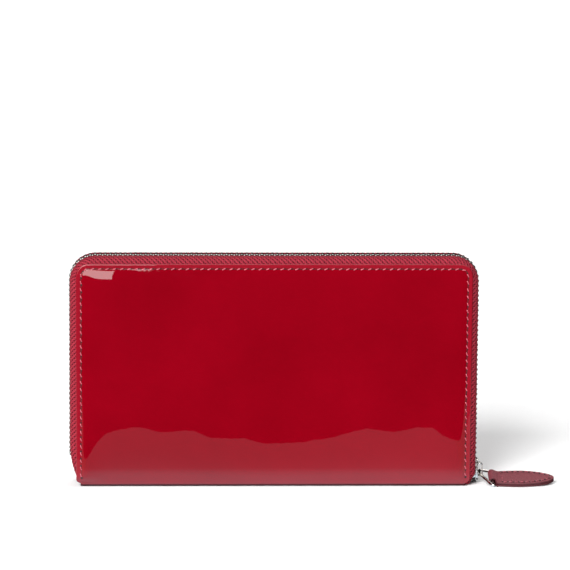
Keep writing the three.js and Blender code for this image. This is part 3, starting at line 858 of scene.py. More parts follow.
@dataclass
class PatentCover:
    """One side of the wrapped sheet of patent leather, from the middle of the spine, round
    the fold and up the face, with its sewing."""

    side: Side
    thickness: float = 1.1 * MM
    edge_radius: float = 0.42 * MM
    seam_inset: float = 2.3 * MM
    corner: float = 6 * MM
    spine_corner: float = 2 * MM
    fold: float = 1.6 * MM

    def __post_init__(self) -> None:
        """Takes the face's outline from the CAD cover."""
        low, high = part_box(f"{self.side.label}_cover")
        self.outline = Outline(high[0], self.fold, high[2], self.corner, self.spine_corner)
        self.face = max(abs(low[1]), abs(high[1]))
        self.hinge = self.face - self.fold

    def swell(self, x: Array, z: Array) -> Array:
        """How far the leather stands out from the flat face, in metres.

        It is the sum of a belly low on the face, a pillow inside the stitching that is
        fuller at one top corner, a puff at each lower corner, slow waves of the glued leather
        and small ripples, less a groove along the stitching and the rounding of the cut edge.

        Args:
            x: places along X.
            z: heights.

        Returns:
            The heights above the face.
        """
        xm, zm = x / MM, z / MM
        inset = self.outline.inset(x, z, open_foot=True)
        inner = np.maximum(inset - self.seam_inset, 0) / MM
        left = self.sway * xm
        full = (hump(left + 78, 8) + hump(left + 94, 3.5)) * hump(zm - 104, 8)
        raised = smoothstep(zm / 9)
        pillow = 0.62 * (1 + 1.5 * full) * (1 - np.exp(-inner / 3.6)) * raised
        belly = 1.05 * hump(zm - 11, 26) * raised * smoothstep(inset / (5 * MM))
        groove = 0.16 * hump(inset - self.seam_inset, 0.55 * MM) * smoothstep((zm - 3) / 3)
        wave = -0.36 * np.cos(2 * np.pi * left / 122) * np.sin(2 * np.pi * (zm - 25) / 150)
        ripple = (0.016 * np.sin(xm / 4.4 + 1.0 + np.sin(zm / 9)) * np.sin(zm / 3.6 + 2.0)
                  + 0.030 * np.sin(xm / 9.5 + zm / 13 + 0.6) + 0.02 * np.sin(xm / 6.1 - zm / 17))
        foot = hump(zm - 4, 16) * smoothstep((zm - 1) / 4)
        puff = (1.5 * hump(left + 93, 9) + 0.5 * hump(left - 91, 9)) * foot
        soft = smoothstep(inset / (7 * MM)) * smoothstep(zm / 6)
        height = pillow + belly + puff - groove + (wave + ripple) * soft
        return height * MM - roundover(inset, self.edge_radius)

    @property
    def sway(self) -> int:
        """Which way the waves run, so that the two sides differ."""
        return -self.side.value

    def rows(self) -> tuple[Array, Array, Array]:
        """The sheet's profile from the middle of the spine to the top edge.

        Returns:
            For each row its place in Y and Z and the direction away from the wallet, as
            one array of Y and Z, one of the direction's, and the heights used for widths.
        """
        flat = np.linspace(0, self.hinge, 12)[:-1]
        turn = np.linspace(0, np.pi / 2, 12)[:-1]
        up = self.outline.rows(0.9 * MM, FINE, open_foot=True)
        place = np.concatenate([
            np.stack([flat, np.zeros_like(flat)], axis=1),
            np.stack([self.hinge + self.fold * np.sin(turn), self.fold * (1 - np.cos(turn))], axis=1),
            np.stack([np.full_like(up, self.face), up], axis=1),
        ])
        away = np.concatenate([
            np.stack([np.zeros_like(flat), -np.ones_like(flat)], axis=1),
            np.stack([np.sin(turn), -np.cos(turn)], axis=1),
            np.stack([np.ones_like(up), np.zeros_like(up)], axis=1),
        ])
        return place, away, np.maximum(place[:, 1], self.fold)

    def build(self, finishes: Finishes) -> None:
        """Builds the leather, its seam and its needle holes, and dresses them.

        Args:
            finishes: the materials.
        """
        place, away, heights = self.rows()
        x = self.outline.columns(heights, 1.3 * MM, FINE)
        z = np.broadcast_to(place[:, 1:], x.shape)
        rise = self.swell(x, np.maximum(z, 0))
        on_face = (place[:, 1] > self.fold)[:, None]
        plain = -roundover(self.outline.width(heights)[:, None] - np.abs(x), self.edge_radius)
        rise = np.where(on_face, rise, plain)
        sign = self.side.value

        def lifted(height: Array) -> Array:
            """The grid of points at a height above the profile, which is the outer face."""
            y = place[:, None, 0] + away[:, None, 0] * height
            up = place[:, None, 1] + away[:, None, 1] * height
            return np.stack([x, sign * y, up], axis=2)

        leather = shell(f"{self.side.label}_patent_leather", lifted(rise),
                        lifted(np.full_like(x, -self.thickness)))
        inset = self.outline.inset(x, z, open_foot=True)
        band = smoothstep((self.seam_inset - inset) / (0.9 * MM) + 0.5) * on_face * smoothstep(z / (8 * MM))
        paint(leather, "pressed", np.concatenate([band.ravel(), np.ones(band.size)]))
        # Painted contact shade: the fold's turn below about 1.7 mm, where the wallet meets the floor, is
        # marked to be darkened.
        wear_and_contact_shade = smoothstep((1.7 * MM - z) / (0.8 * MM)).ravel()
        paint(leather, "wear_and_contact_shade", np.concatenate([wear_and_contact_shade, wear_and_contact_shade]))
        dress(leather, finishes.patent, self.side.body, "patent_leather",
              f"{self.side.label}_cover", "spine_leather", ride=False)
        self.side.body
        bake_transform(leather)
        self.sew(finishes)

    def sew(self, finishes: Finishes) -> None:
        """Sews the seam up one side, along the top and down the other.

        Args:
            finishes: the materials.
        """
        edge = self.outline
        reach = edge.half - self.seam_inset
        top = edge.high - self.seam_inset
        radius = edge.upper - self.seam_inset
        right = quarter_round(radius, 9) + (reach - radius, top - radius)
        left = right[::-1] * (-1, 1)
        foot = 4.2 * MM
        line = np.concatenate([[(reach, foot)], right, left, [(-reach, foot)]])
        seam = Seam()
        spots, heading = seam.places(line)
        sign = self.side.value
        step = 0.05 * MM
        rise = self.swell(spots[:, 0], spots[:, 1])
        slope_x = (self.swell(spots[:, 0] + step, spots[:, 1]) - rise) / step
        slope_z = (self.swell(spots[:, 0], spots[:, 1] + step) - rise) / step
        points = np.stack([spots[:, 0], sign * (self.face + rise), spots[:, 1]], axis=1)
        along = np.stack([heading[:, 0], np.zeros(len(spots)), heading[:, 1]], axis=1)
        normal = unit(np.stack([-slope_x, np.full(len(spots), float(sign)), -slope_z], axis=1))
        seam.build(f"{self.side.label}_cover_seam", points, along, normal, finishes.thread, finishes.hole,
                   self.side.body, "patent_leather")


# ---------- zip ----------


@dataclass
class ZipLine:
    """The line of teeth: up the right side, round the top and down the left side, where
    its last stretch turns in."""

    corner: float = 12 * MM
    turn_height: float = 20 * MM
    turn_radius: float = 43 * MM
    turn_angle: float = math.radians(22)
    half_thick: float = 0.8 * MM
    stop_gap: float = 12.5 * MM

    def __post_init__(self) -> None:
        """Takes the line's reach from the CAD teeth and its foot from the CAD tape."""
        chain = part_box("front_zip_chain")
        self.side = chain[1][0] - self.half_thick
        self.top = chain[1][2] - self.half_thick
        self.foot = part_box("front_zip_tape")[0][2]
        quarter = self.corner * math.pi / 2
        self.runs = [
            (self.top - self.corner - self.foot, 0.0),
            (quarter, math.pi / 2),
            (2 * (self.side - self.corner), 0.0),
            (quarter, math.pi / 2),
            (self.top - self.corner - self.turn_height, 0.0),
            (self.turn_radius * self.turn_angle, self.turn_angle),
        ]
        self.length = sum(length for length, _ in self.runs)
        self.end = self.length - self.stop_gap

    def at(self, distance: Array) -> tuple[Array, Array, Array]:
        """Places on the line. A run that turns follows a circle, whose radius is the run's
        length over its turn.

        Args:
            distance: distances along the line from its right foot.

        Returns:
            The points, unit tangents and unit outward directions.
        """
        x = np.full_like(distance, self.side)
        z = np.full_like(distance, self.foot)
        heading = np.full_like(distance, math.pi / 2)
        left = distance.copy()
        for i, (length, turn) in enumerate(self.runs):
            part = np.clip(left, 0, length if i < len(self.runs) - 1 else None)
            if turn:
                radius = length / turn
                after = heading + part / radius
                x += radius * (np.sin(after) - np.sin(heading))
                z += radius * (np.cos(heading) - np.cos(after))
                heading = after
            else:
                x += part * np.cos(heading)
                z += part * np.sin(heading)
            left = left - part
        zero = np.zeros_like(x)
        point = np.stack([x, zero, z], axis=1)
        tangent = np.stack([np.cos(heading), zero, np.sin(heading)], axis=1)
        outward = np.stack([np.sin(heading), zero, -np.cos(heading)], axis=1)
        return point, tangent, outward


@dataclass
class ZipTape:
    """One woven tape, flat behind a cover's edge, round the edge and in to the teeth."""

    side: Side
    line: ZipLine
    thickness: float = 0.5 * MM
    rib: float = 1.5 * MM
    rib_depth: float = 0.15 * MM
    foot_tuck: float = 2.4 * MM
    spine_clear: float = 3.7 * MM

    def __post_init__(self) -> None:
        """Takes how far the teeth stand out past the cover's edge."""
        self.reach = self.line.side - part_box(f"{self.side.label}_cover")[1][0]

    def section(self) -> tuple[Array, Array]:
        """The tape's bent section: flat behind the cover's edge, a quarter of an ellipse
        round the edge, then straight in to the teeth.

        Returns:
            Distances along the section, and the points there, each a depth in Y and an
            offset outwards from the line of teeth.
        """
        low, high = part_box(f"{self.side.label}_zip_tape")
        near, far = sorted(np.abs([low[1], high[1]]))
        plane = far - self.thickness / 2
        flat = near + 1 * MM
        turn = quarter_round(1, 15)
        hidden = np.array([4, 2.5, 1.2]) * MM
        depth = np.concatenate([[plane] * 3, flat + (plane - flat) * turn[:, 0], [near + 0.5 * MM, near]])
        offset = np.concatenate([-self.reach - hidden, (self.reach + 0.5 * MM) * (turn[:, 1] - 1), [0, 0]])
        path = np.stack([depth, offset], axis=1)
        across = np.linspace(0, run_of(path)[-1], 26)
        return across, sampled(path, across)

    def twill(self, distance: Array, across: Array) -> Array:
        """The twill's height: one diagonal wave, broken by a wave on the other diagonal.

        Args:
            distance: distances along the tape, as a column.
            across: distances across it, as a row.

        Returns:
            The heights, along by across.
        """
        wave = 2 * np.pi / (self.rib * math.sqrt(2))
        slanted = self.side.value * across
        broken = 0.45 + 0.55 * np.sin(wave * (distance - slanted))
        return self.rib_depth * np.sin(wave * (distance + slanted)) * broken

    def gathers(self, distance: Array, across: Array, bend: Array) -> Array:
        """Small waves across the tape where it turns a corner, which fade away from the teeth.

        Args:
            distance: distances along the tape, as a column.
            across: distances across it, as a row.
            bend: the share of the waves' height at each distance, as a column.

        Returns:
            The heights, along by across.
        """
        fade = smoothstep((across - across[..., -1:] * 0.3) / (4 * MM))
        return 0.10 * MM * bend * np.sin(2 * np.pi * distance / (3.1 * MM)) * fade

    def build(self, finishes: Finishes) -> None:
        """Carries the section along the line, and tucks in the tape's right foot.

        Args:
            finishes: the materials.
        """
        across, section = self.section()
        tangent, _ = sideways(section)
        leaning = tangent[:, ::-1] * (1, -1)
        width = across[-1]
        along = np.linspace(0, self.line.length, 1700)
        point, _, outward = self.line.at(along)
        near_foot = point[:, 2:] < 4 * MM
        point = point - outward * self.foot_tuck * smoothstep((5.2 * MM - along) / (5 * MM))[:, None]
        distance, across = along[:, None], across[None]
        bend = np.clip(1 - np.abs(np.abs(outward[:, :1]) - 0.7) / 0.3, 0, 1)
        rib = self.twill(distance, across)
        full = 0.18 * MM * np.sin(np.pi * across / width)
        near_teeth = smoothstep((width - across) / (0.8 * MM))

        def face(height: Array) -> Array:
            """The tape's points at a height off its middle, kept clear of the spine."""
            flat = section[None] + leaning[None] * height[..., None]
            grid = point[:, None] + outward[:, None] * flat[..., 1:]
            grid[..., 1] = self.side.value * flat[..., 0]
            behind = (section[:, 1] < -self.reach)[None] & near_foot
            grid[..., 2] = np.where(behind, np.maximum(grid[..., 2], self.spine_clear), grid[..., 2])
            return grid

        top = self.thickness / 2 + rib * near_teeth + self.gathers(distance, across, bend) + full
        under = np.broadcast_to(full - self.thickness / 2, top.shape)
        tape = shell(f"{self.side.label}_woven_tape", face(top), face(under))
        # Painted shade in the twill's valleys: the deeper the valley, the darker the cloth is painted.
        painted_hollow_shade = smoothstep(0.35 - 1.8 * rib / self.rib_depth).ravel()
        paint(tape, "painted_hollow_shade", np.concatenate([painted_hollow_shade, painted_hollow_shade]))
        dress(tape, finishes.tape, self.side.body, "zip_cloth", f"{self.side.label}_zip_tape")


@dataclass
class ZipTeeth:
    """One row of metal teeth, each clamped on the tape's corded edge, with its end stop."""

    side: Side
    line: ZipLine
    pitch: float = 2.4 * MM
    start_gap: float = 2.8 * MM
    cord_place: float = 2.3 * MM
    cord_radius: float = 0.33 * MM

    def build(self, finishes: Finishes) -> None:
        """Sets the teeth and the cord along the line, and the stop at its right foot.

        Args:
            finishes: the materials.
        """
        label, sign = self.side.label, self.side.value
        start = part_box("zip_slider")[0][2] + self.start_gap - self.line.foot
        end = self.line.end
        first = start + 0.8 * MM + (self.pitch / 2 if self.side is Side.REAR else 0)
        point, tangent, outward = self.line.at(np.arange(first, end - 0.6 * MM, self.pitch))
        base, faces = loft([(sign * depth, half_x, half_z) for depth, half_x, half_z in (
            (2.95, 0.58, 0.34), (2.8, 0.80, 0.46), (1.95, 0.84, 0.52), (1.55, 0.66, 0.46), (0.9, 0.56, 0.44),
            (0.25, 0.58, 0.46), (-0.1, 0.62, 0.55), (-0.43, 0.6, 0.53), (-0.55, 0.45, 0.4))])
        middle = np.broadcast_to(np.array([0.0, 1.0, 0.0]), outward.shape)
        teeth = copies(f"{label}_teeth", base, faces, np.stack([outward, middle, tangent], axis=1), point)
        dress(teeth, finishes.teeth, self.side.body, "zip_metal", f"{label}_zip_chain")
        run = np.linspace(start, end, 500)
        cord = self.line.at(run)[0] + (0, sign * self.cord_place, 0)
        beat = self.cord_radius * (1 + 0.06 * np.sin(2 * np.pi * run / (0.8 * MM)))
        bead = tube(f"{label}_tape_cord", cord, beat, 8, up=(0, 1, 0))
        # Painted shade: the whole cord takes the darkest cloth colour, in place of the shade among the teeth.
        paint(bead, "painted_hollow_shade", np.ones(len(bead.data.vertices)))
        dress(bead, finishes.tape, self.side.body, "zip_cloth")
        end_stop(f"{label}_end_stop", f"{label}_top_stop", 0.15 * MM, self.side.body, finishes)


def end_stop(name: str, node: str, bevel: float, body: str, finishes: Finishes) -> None:
    """A small metal block that ends a row of teeth, in its CAD box.

    Args:
        name: the piece's name.
        node: its CAD node.
        bevel: how far its edges are rounded.
        body: the body that it rides on.
        finishes: the materials.
    """
    low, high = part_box(node)
    outline = rounded_box((low[0] + high[0]) / 2, (high[0] - low[0]) / 2, low[2], high[2])
    stop = prism(name, outline, low[1], high[1], bevel, (0, 2, 1))
    dress(stop, finishes.teeth, body, "zip_metal", node)


def rounded_box(middle: float, half: float, low: float, high: float) -> Array:
    """The outline of a rectangle, its corners cut back a little.

    Args:
        middle: its middle along the first axis.
        half: half its width.
        low: its lower side.
        high: its upper side.

    Returns:
        Eight points.
    """
    cut = min(half, (high - low) / 2) * 0.35
    return np.array([
        (middle - half + cut, low), (middle + half - cut, low), (middle + half, low + cut),
        (middle + half, high - cut), (middle + half - cut, high), (middle - half + cut, high),
        (middle - half, high - cut), (middle - half, low + cut),
    ])


def bent_strip(name: str, path: Array, half: float, thick: float, direction: int) -> bpy.types.Object:
    """A flat metal strip that follows a path in a plane, with rounded edges.

    Args:
        name: the piece's name.
        path: the strip's middle line, n by 2, in the two axes other than its width's.
        half: half the strip's width.
        thick: its thickness.
        direction: the axis, 0, 1 or 2, along which the strip is wide.

    Returns:
        The new object.
    """
    _, normal = sideways(path)
    cut = thick * 0.3
    section = np.array([
        (half - cut, thick / 2), (-half + cut, thick / 2), (-half, thick / 2 - cut), (-half, cut - thick / 2),
        (-half + cut, -thick / 2), (half - cut, -thick / 2), (half, cut - thick / 2), (half, thick / 2 - cut),
    ])
    flat = path[:, None] + normal[:, None] * section[None, :, 1:]
    others = [axis for axis in range(3) if axis != direction]
    verts = np.zeros((len(path), 8, 3))
    verts[..., others[0]] = flat[..., 0]
    verts[..., others[1]] = flat[..., 1]
    verts[..., direction] = section[None, :, 0]
    return mesh_object(name, verts.reshape(-1, 3), grid_quads(len(path), 8, loop_cols=True),
                       end_caps(len(path), 8))


@dataclass
class ZipSlider:
    """The slider: two plates joined by a post, with flanges for the tapes and a bail."""

    plate: float = 0.7 * MM
    channel: float = 1.0 * MM
    slot: float = 0.55 * MM
    flange: float = 0.7 * MM
    taper: float = 1.3 * MM
    foot_round: float = 1.2 * MM
    head_round: float = 1.4 * MM
    bail_half: float = 1.0 * MM
    bail_strip: float = 0.6 * MM

    def build(self, finishes: Finishes) -> None:
        """Builds the slider in its CAD box.

        Args:
            finishes: the materials.
        """
        low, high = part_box("zip_slider")
        middle = low[0] + self.plate + self.channel
        half = (high[1] - low[1]) / 2
        foot, tall = low[2], high[2] - low[2]
        turn = quarter_round(1, 6) - 1
        shoulder = ((half, 0) + turn * (self.foot_round, -self.foot_round))[::-1]
        head = (half - self.taper, tall) + turn * self.head_round
        right = np.concatenate([shoulder, [(half, tall * 0.45)], head])
        outline = np.concatenate([right, (right * (-1, 1))[::-1]]) + (0, foot)
        parts = []
        for face in (-1, 1):
            near = middle + face * self.channel
            plate = sorted((near, near + face * self.plate))
            parts.append(prism("plate", outline, *plate, 0.22 * MM, (1, 2, 0)))
            for edge in (-1, 1):
                strip = rounded_box(edge * (half - self.flange / 2), self.flange / 2,
                                    foot + 1 * MM, foot + tall * 0.5)
                inner = middle + face * self.slot
                outer = middle + face * (self.channel + 0.1 * MM)
                parts.append(prism("flange", strip, *sorted((inner, outer)), 0.12 * MM, (1, 2, 0)))
        post = rounded_box(0, 0.9 * MM, foot + 0.2 * MM, foot + 2.6 * MM)
        parts.append(prism("post", post, middle - self.channel - 0.1 * MM, middle + self.channel + 0.1 * MM,
                           0.1 * MM, (1, 2, 0)))
        body = join("slider_body", *parts)
        dress(body, finishes.nickel, "zip_slider", "zip_metal", "zip_slider")
        base = middle + self.channel + self.plate
        crown = high[0] - self.bail_strip / 2
        lower, upper = foot + tall * 0.11 + 0.45 * MM, foot + tall * 0.81 - 0.45 * MM
        bend = 1.1 * MM
        turn = quarter_round(bend, 7)
        first = (crown - bend, lower + bend) + turn[:, ::-1] * (1, -1)
        second = (crown - bend, upper - bend) + turn
        path = np.concatenate([[(base - 0.2 * MM, lower)], first, second, [(base - 0.2 * MM, upper)]])
        bail = bent_strip("slider_bail", path, self.bail_half, self.bail_strip, 1)
        dress(bail, finishes.nickel, "zip_slider", "zip_metal")
        rivet = tube("slider_rivet", np.array([
            (base - 0.1 * MM, 0, upper + 1.6 * MM), (base + 0.22 * MM, 0, upper + 1.6 * MM),
            (base + 0.3 * MM, 0, upper + 1.6 * MM)]), np.array([0.75, 0.72, 0.5]) * MM, 16)
        dress(rivet, finishes.nickel, "zip_slider", "zip_metal")


@dataclass
class BottomStop:
    """The clip that joins the two rows where the zip ends on the left."""

    line: ZipLine

    def build(self, finishes: Finishes) -> None:
        """Builds the clip across both rows.

        Args:
            finishes: the materials.
        """
        point, tangent, outward = self.line.at(np.array([self.line.end + 1.2 * MM]))
        base, faces = loft([(-2.9, 0.7, 0.75), (-2.7, 0.95, 1.0), (-0.6, 1.0, 1.0), (0, 0.9, 0.85),
                            (0.6, 1.0, 1.0), (2.7, 0.95, 1.0), (2.9, 0.7, 0.75)])
        axes = np.stack([outward, np.array([[0.0, 1.0, 0.0]]), tangent], axis=1)
        clip = copies("bottom_clip", base, faces, axes, point)
        dress(clip, finishes.teeth, "rear_half", "zip_metal", "bottom_stop")


# ---------- ring and pull tab ----------


@dataclass
class PullFrame:
    """The turned frame that the ring and the tab are built in: X from the bail's bar to the
    tab's bar, Y across, Z away from the ring's plane."""

    roll: float = math.radians(13)
    pitch: float = math.radians(10)
    length: float = 6 * MM

    def __post_init__(self) -> None:
        """Takes the two bars' places from the record's joints."""
        joints = {joint["name"]: joint for joint in frame["joints"]}
        self.bail = np.array(joints["ring_swing"]["pos_m"], float)
        self.bar = np.array(joints["tab_swing"]["pos_m"], float)

    def ring(self, local: Array) -> Array:
        """Points of the ring's own frame, in the row's frame."""
        return self.bail + self.turned(local, self.pitch)

    def tab(self, local: Array) -> Array:
        """Points of the tab's own frame, which is level along the tab, in the row's frame."""
        return self.bar + self.turned(local, 0.0)

    def turned(self, local: Array, pitch: float) -> Array:
        """Turns points by the pitch about Y and then by the roll about X."""
        x, y, z = np.moveaxis(np.asarray(local, float), -1, 0)
        c, s = math.cos(pitch), math.sin(pitch)
        x, z = c * x + s * z, -s * x + c * z
        c, s = math.cos(self.roll), math.sin(self.roll)
        return np.stack([x, c * y - s * z, s * y + c * z], axis=-1)


@dataclass
class PullRing:
    """The bent wire ring between the bail and the tab."""

    place: PullFrame
    wire: float = 1.1 * MM
    neck: float = 2.05 * MM
    spread: float = 7.6 * MM
    shift: float = 5.5 * MM
    corner: float = 1.3 * MM

    def build(self, finishes: Finishes) -> None:
        """Carries a round wire round the ring's four rounded corners.

        Args:
            finishes: the materials.
        """
        length = self.place.length
        corners = np.array([
            (0, self.neck), (0, -self.neck), (length, -self.shift - self.spread), (length, self.neck),
        ])
        path = []
        for i, corner in enumerate(corners):
            last, after = corners[i - 1], corners[(i + 1) % 4]
            into = corner + unit(last - corner) * self.corner
            out = corner + unit(after - corner) * self.corner
            t = np.linspace(0, 1, 9)[:, None]
            path.append((1 - t) ** 2 * into + 2 * t * (1 - t) * corner + t ** 2 * out)
            following = after + unit(corner - after) * self.corner
            path.append(out + (following - out) * np.linspace(0, 1, 8)[1:-1, None])
        flat = np.concatenate(path)
        points = self.place.ring(np.concatenate([flat, np.zeros((len(flat), 1))], axis=1))
        ring = tube("wire_ring", points, self.wire * 0.58, 14, closed=True)
        dress(ring, finishes.nickel, "pull_ring", "zip_metal", "pull_ring")


@dataclass
class PullTab:
    """A strip of grained leather folded round the ring's bar, cut to a leaf and sewn."""

    place: PullFrame
    ply: float = 0.9 * MM
    gap: float = 0.2 * MM
    length: float = 29.5 * MM
    half: float = 7 * MM
    neck: float = 4.7 * MM
    neck_shift: float = 2 * MM
    shift: float = 5.5 * MM
    wire: float = 1.1 * MM
    seam_inset: float = 1.5 * MM
    cross_seam: float = 4.4 * MM

    def half_width(self, along: Array) -> Array:
        """Half the leaf's width at a distance from the bar: it widens from the shoulder to
        its middle and closes to a rounded point as a squarish ellipse."""
        widest = self.length * 0.45
        t = np.clip((along - widest) / (self.length - widest), 0, 1)
        leaf = self.half * np.sqrt(np.clip(1 - t ** 1.75, 0, 1))
        back = np.clip((widest - along) / widest, 0, 1)
        return leaf - 1.0 * MM * back ** 1.8

    def edges(self, along: Array) -> tuple[Array, Array]:
        """The leaf's two edges in Y at a distance from the bar, narrowing to the neck."""
        half = self.half_width(along)
        open_up = smoothstep((along - 0.75 * MM) / (0.9 * MM))
        near = -open_up * half + (1 - open_up) * (self.neck_shift - self.neck)
        far = open_up * half + (1 - open_up) * (self.neck_shift + self.neck)
        return near - self.shift, far - self.shift

    def middle(self) -> Array:
        """Half of the folded strip's middle line, from the fold's middle round the bar to
        the tip.

        Returns:
            Points, each a place along the tab and a height above its plane.
        """
        radius = self.wire / 2 + 0.4 * MM + self.ply / 2
        rest = (self.gap + self.ply) / 2
        opening = math.radians(55)
        turn = np.linspace(np.pi, opening, 24)
        neck_x = np.linspace(radius * math.cos(opening), 3.0 * MM, 10)[1:]
        s = smoothstep((neck_x - neck_x[0]) / (neck_x[-1] - neck_x[0]))
        neck_z = radius * math.sin(opening) * (1 - s) + rest * s
        x = np.concatenate([radius * np.cos(turn), neck_x, [self.length]])
        z = np.concatenate([radius * np.sin(turn), neck_z, [rest]])
        return np.stack([x, z], axis=1)

    def relief(self, x: Array, y: Array, inset: Array) -> Array:
        """How far the leather stands out: a crown inside the seam and a fine grain, less the
        grooves that the seam round the leaf and the seam across it press in.

        Args:
            x: places along the tab.
            y: places across it.
            inset: how far each point is from the nearest edge.

        Returns:
            The heights.
        """
        on_leaf = smoothstep((x - 3 * MM) / (1 * MM))
        groove = 0.17 * MM * hump(inset - self.seam_inset, 0.4 * MM) * on_leaf
        cross = 0.10 * MM * hump(x - self.cross_seam, 0.4 * MM) * (inset > 1.2 * MM)
        crown = 0.16 * MM * smoothstep((inset - self.seam_inset) / (3 * MM)) * on_leaf
        bent = np.sin(x / MM * 3.1) * 2
        grain = 0.012 * MM * np.sin(y / MM * 5.3 + bent) * np.sin(x / MM * 4.7)
        return crown - groove - cross + grain

    def build(self, finishes: Finishes) -> None:
        """Builds the folded strip, its seam, its painted edge and the painted shade on the inner faces
        between its plies.
        """
        upper = self.middle()
        spread = (0.5 - 0.5 * np.cos(np.linspace(0, np.pi, 91))) ** 0.8
        half = sampled(upper, run_of(upper)[-1] * spread)
        strip_line = np.concatenate([half[::-1] * (1, -1), half[1:]])
        x, z = strip_line.T
        _, normal = sideways(strip_line)
        near, far = self.edges(np.maximum(x, -1.9 * MM))
        across = 0.5 - 0.5 * np.cos(np.linspace(0, np.pi, 41))
        y = near[:, None] + (far - near)[:, None] * across[None]
        inset = np.minimum(np.minimum(y - near[:, None], far[:, None] - y), (self.length - x)[:, None])
        drop = roundover(np.maximum(inset, 0), 0.3 * MM)
        relief = self.relief(x[:, None], y, inset)

        def face(height: Array) -> Array:
            """The strip's points at a height off its middle, positive on the outside."""
            px = x[:, None] + normal[:, None, 0] * height
            pz = z[:, None] + normal[:, None, 1] * height
            return self.place.tab(np.stack([px, y, pz], axis=2))

        outward = np.sign((normal[:, 1] * z + normal[:, 0] * x)[len(x) // 4])
        outer = face(outward * (self.ply / 2 + relief - drop))
        inner = face(-outward * (self.ply / 2 - drop * 0.8))
        strip = shell("folded_pull_leather", outer, inner)
        # The edge paint darkens the cut edges; the inner faces are all marked too, as painted shade in the
        # gap between the plies.
        rim = smoothstep(1.0 - inset / (0.3 * MM))
        paint(strip, "rim", np.concatenate([rim.ravel(), np.ones(rim.size)]))
        dress(strip, finishes.pull, "pull_tab", "pull_leather", "pull_tab")
        self.sew(finishes)

    def sew(self, finishes: Finishes) -> None:
        """Sews round the leaf and across it near the bar, on both faces.

        Args:
            finishes: the materials.
        """
        seam = Seam(pitch=2.6 * MM, length=1.9 * MM, radius=0.22 * MM, slant=0.35 * MM, hole=0.45 * MM)
        inset = self.seam_inset
        tip = self.length - inset * 1.15
        along = tip - (tip - self.cross_seam) * (0.5 - 0.5 * np.cos(np.linspace(np.pi, 0, 60)))
        half = np.maximum(self.half_width(along + inset * 0.6 * (along > self.length * 0.6)) - inset, 0)
        near = np.stack([along, -half - self.shift], axis=1)
        far = np.stack([along, half - self.shift], axis=1)[::-1]
        loop = np.concatenate([near, far, near[:1]])
        height = (self.gap + self.ply) / 2 + self.ply / 2 + 0.02 * MM
        for name, sign in (("upper", 1.0), ("lower", -1.0)):
            spots, heading = seam.places(loop)
            zero = np.zeros(len(spots))
            local = np.stack([spots[:, 0], spots[:, 1], zero + sign * height], axis=1)
            points = self.place.tab(local)
            direction = self.place.turned(np.stack([heading[:, 0], heading[:, 1], zero], axis=1), 0.0)
            up = self.place.turned(np.stack([zero, zero, zero + sign], axis=1), 0.0)
            seam.build(f"pull_{name}_seam", points, direction, up, finishes.pull_thread, finishes.hole,
                       "pull_tab", "pull_leather")


# ---------- inside ----------


@dataclass
class SoftPanel:
    """A sewn sheet that stands in X and Z, with rounded edges and a pressed line inside them."""

    node: str
    upper: float = 0.6 * MM
    lower: float = 0.6 * MM
    edge: float = 0.2 * MM
    crease: float = 1.6 * MM
    crease_depth: float = 0.06 * MM
    step: float = 2.2 * MM

    def build(self, name: str, material: bpy.types.Material, body: str, slot: str,
              facing: int) -> bpy.types.Object:
        """Builds the sheet in its CAD box.

        Args:
            name: the piece's name.
            material: its finish.
            body: the body that it rides on.
            slot: the record's material slot.
            facing: the sign of Y that its visible face looks to.

        Returns:
            The new object.
        """
        low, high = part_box(self.node)
        outline = Outline(high[0], low[2], high[2], self.upper, self.lower)
        fine = np.array([0, 0.06, 0.14, 0.25, 0.4, 0.7, 1.1, 1.4, 1.6, 1.8, 2.1, 2.6, 3.4]) * MM
        z = outline.rows(self.step, fine)
        x = outline.columns(z, self.step, fine)
        z = np.broadcast_to(z[:, None], x.shape)
        inset = outline.inset(x, z)
        press = self.crease_depth * hump(inset - self.crease, 0.3 * MM)
        drop = roundover(inset, self.edge)
        waves = np.sin(x / MM / 7.3 + facing) * np.sin(z / MM / 9.1)
        ripple = 0.03 * MM * waves * smoothstep(inset / (8 * MM))
        face, back = (high[1], low[1]) if facing > 0 else (low[1], high[1])
        front = np.stack([x, face + facing * (ripple - press - drop), z], axis=2)
        rear = np.stack([x, back + facing * (ripple + drop), z], axis=2)
        panel = shell(name, front, rear)
        rim = smoothstep(1 - inset / (0.25 * MM))
        paint(panel, "rim", np.concatenate([rim.ravel(), rim.ravel()]))
        return dress(panel, material, body, slot, self.node)


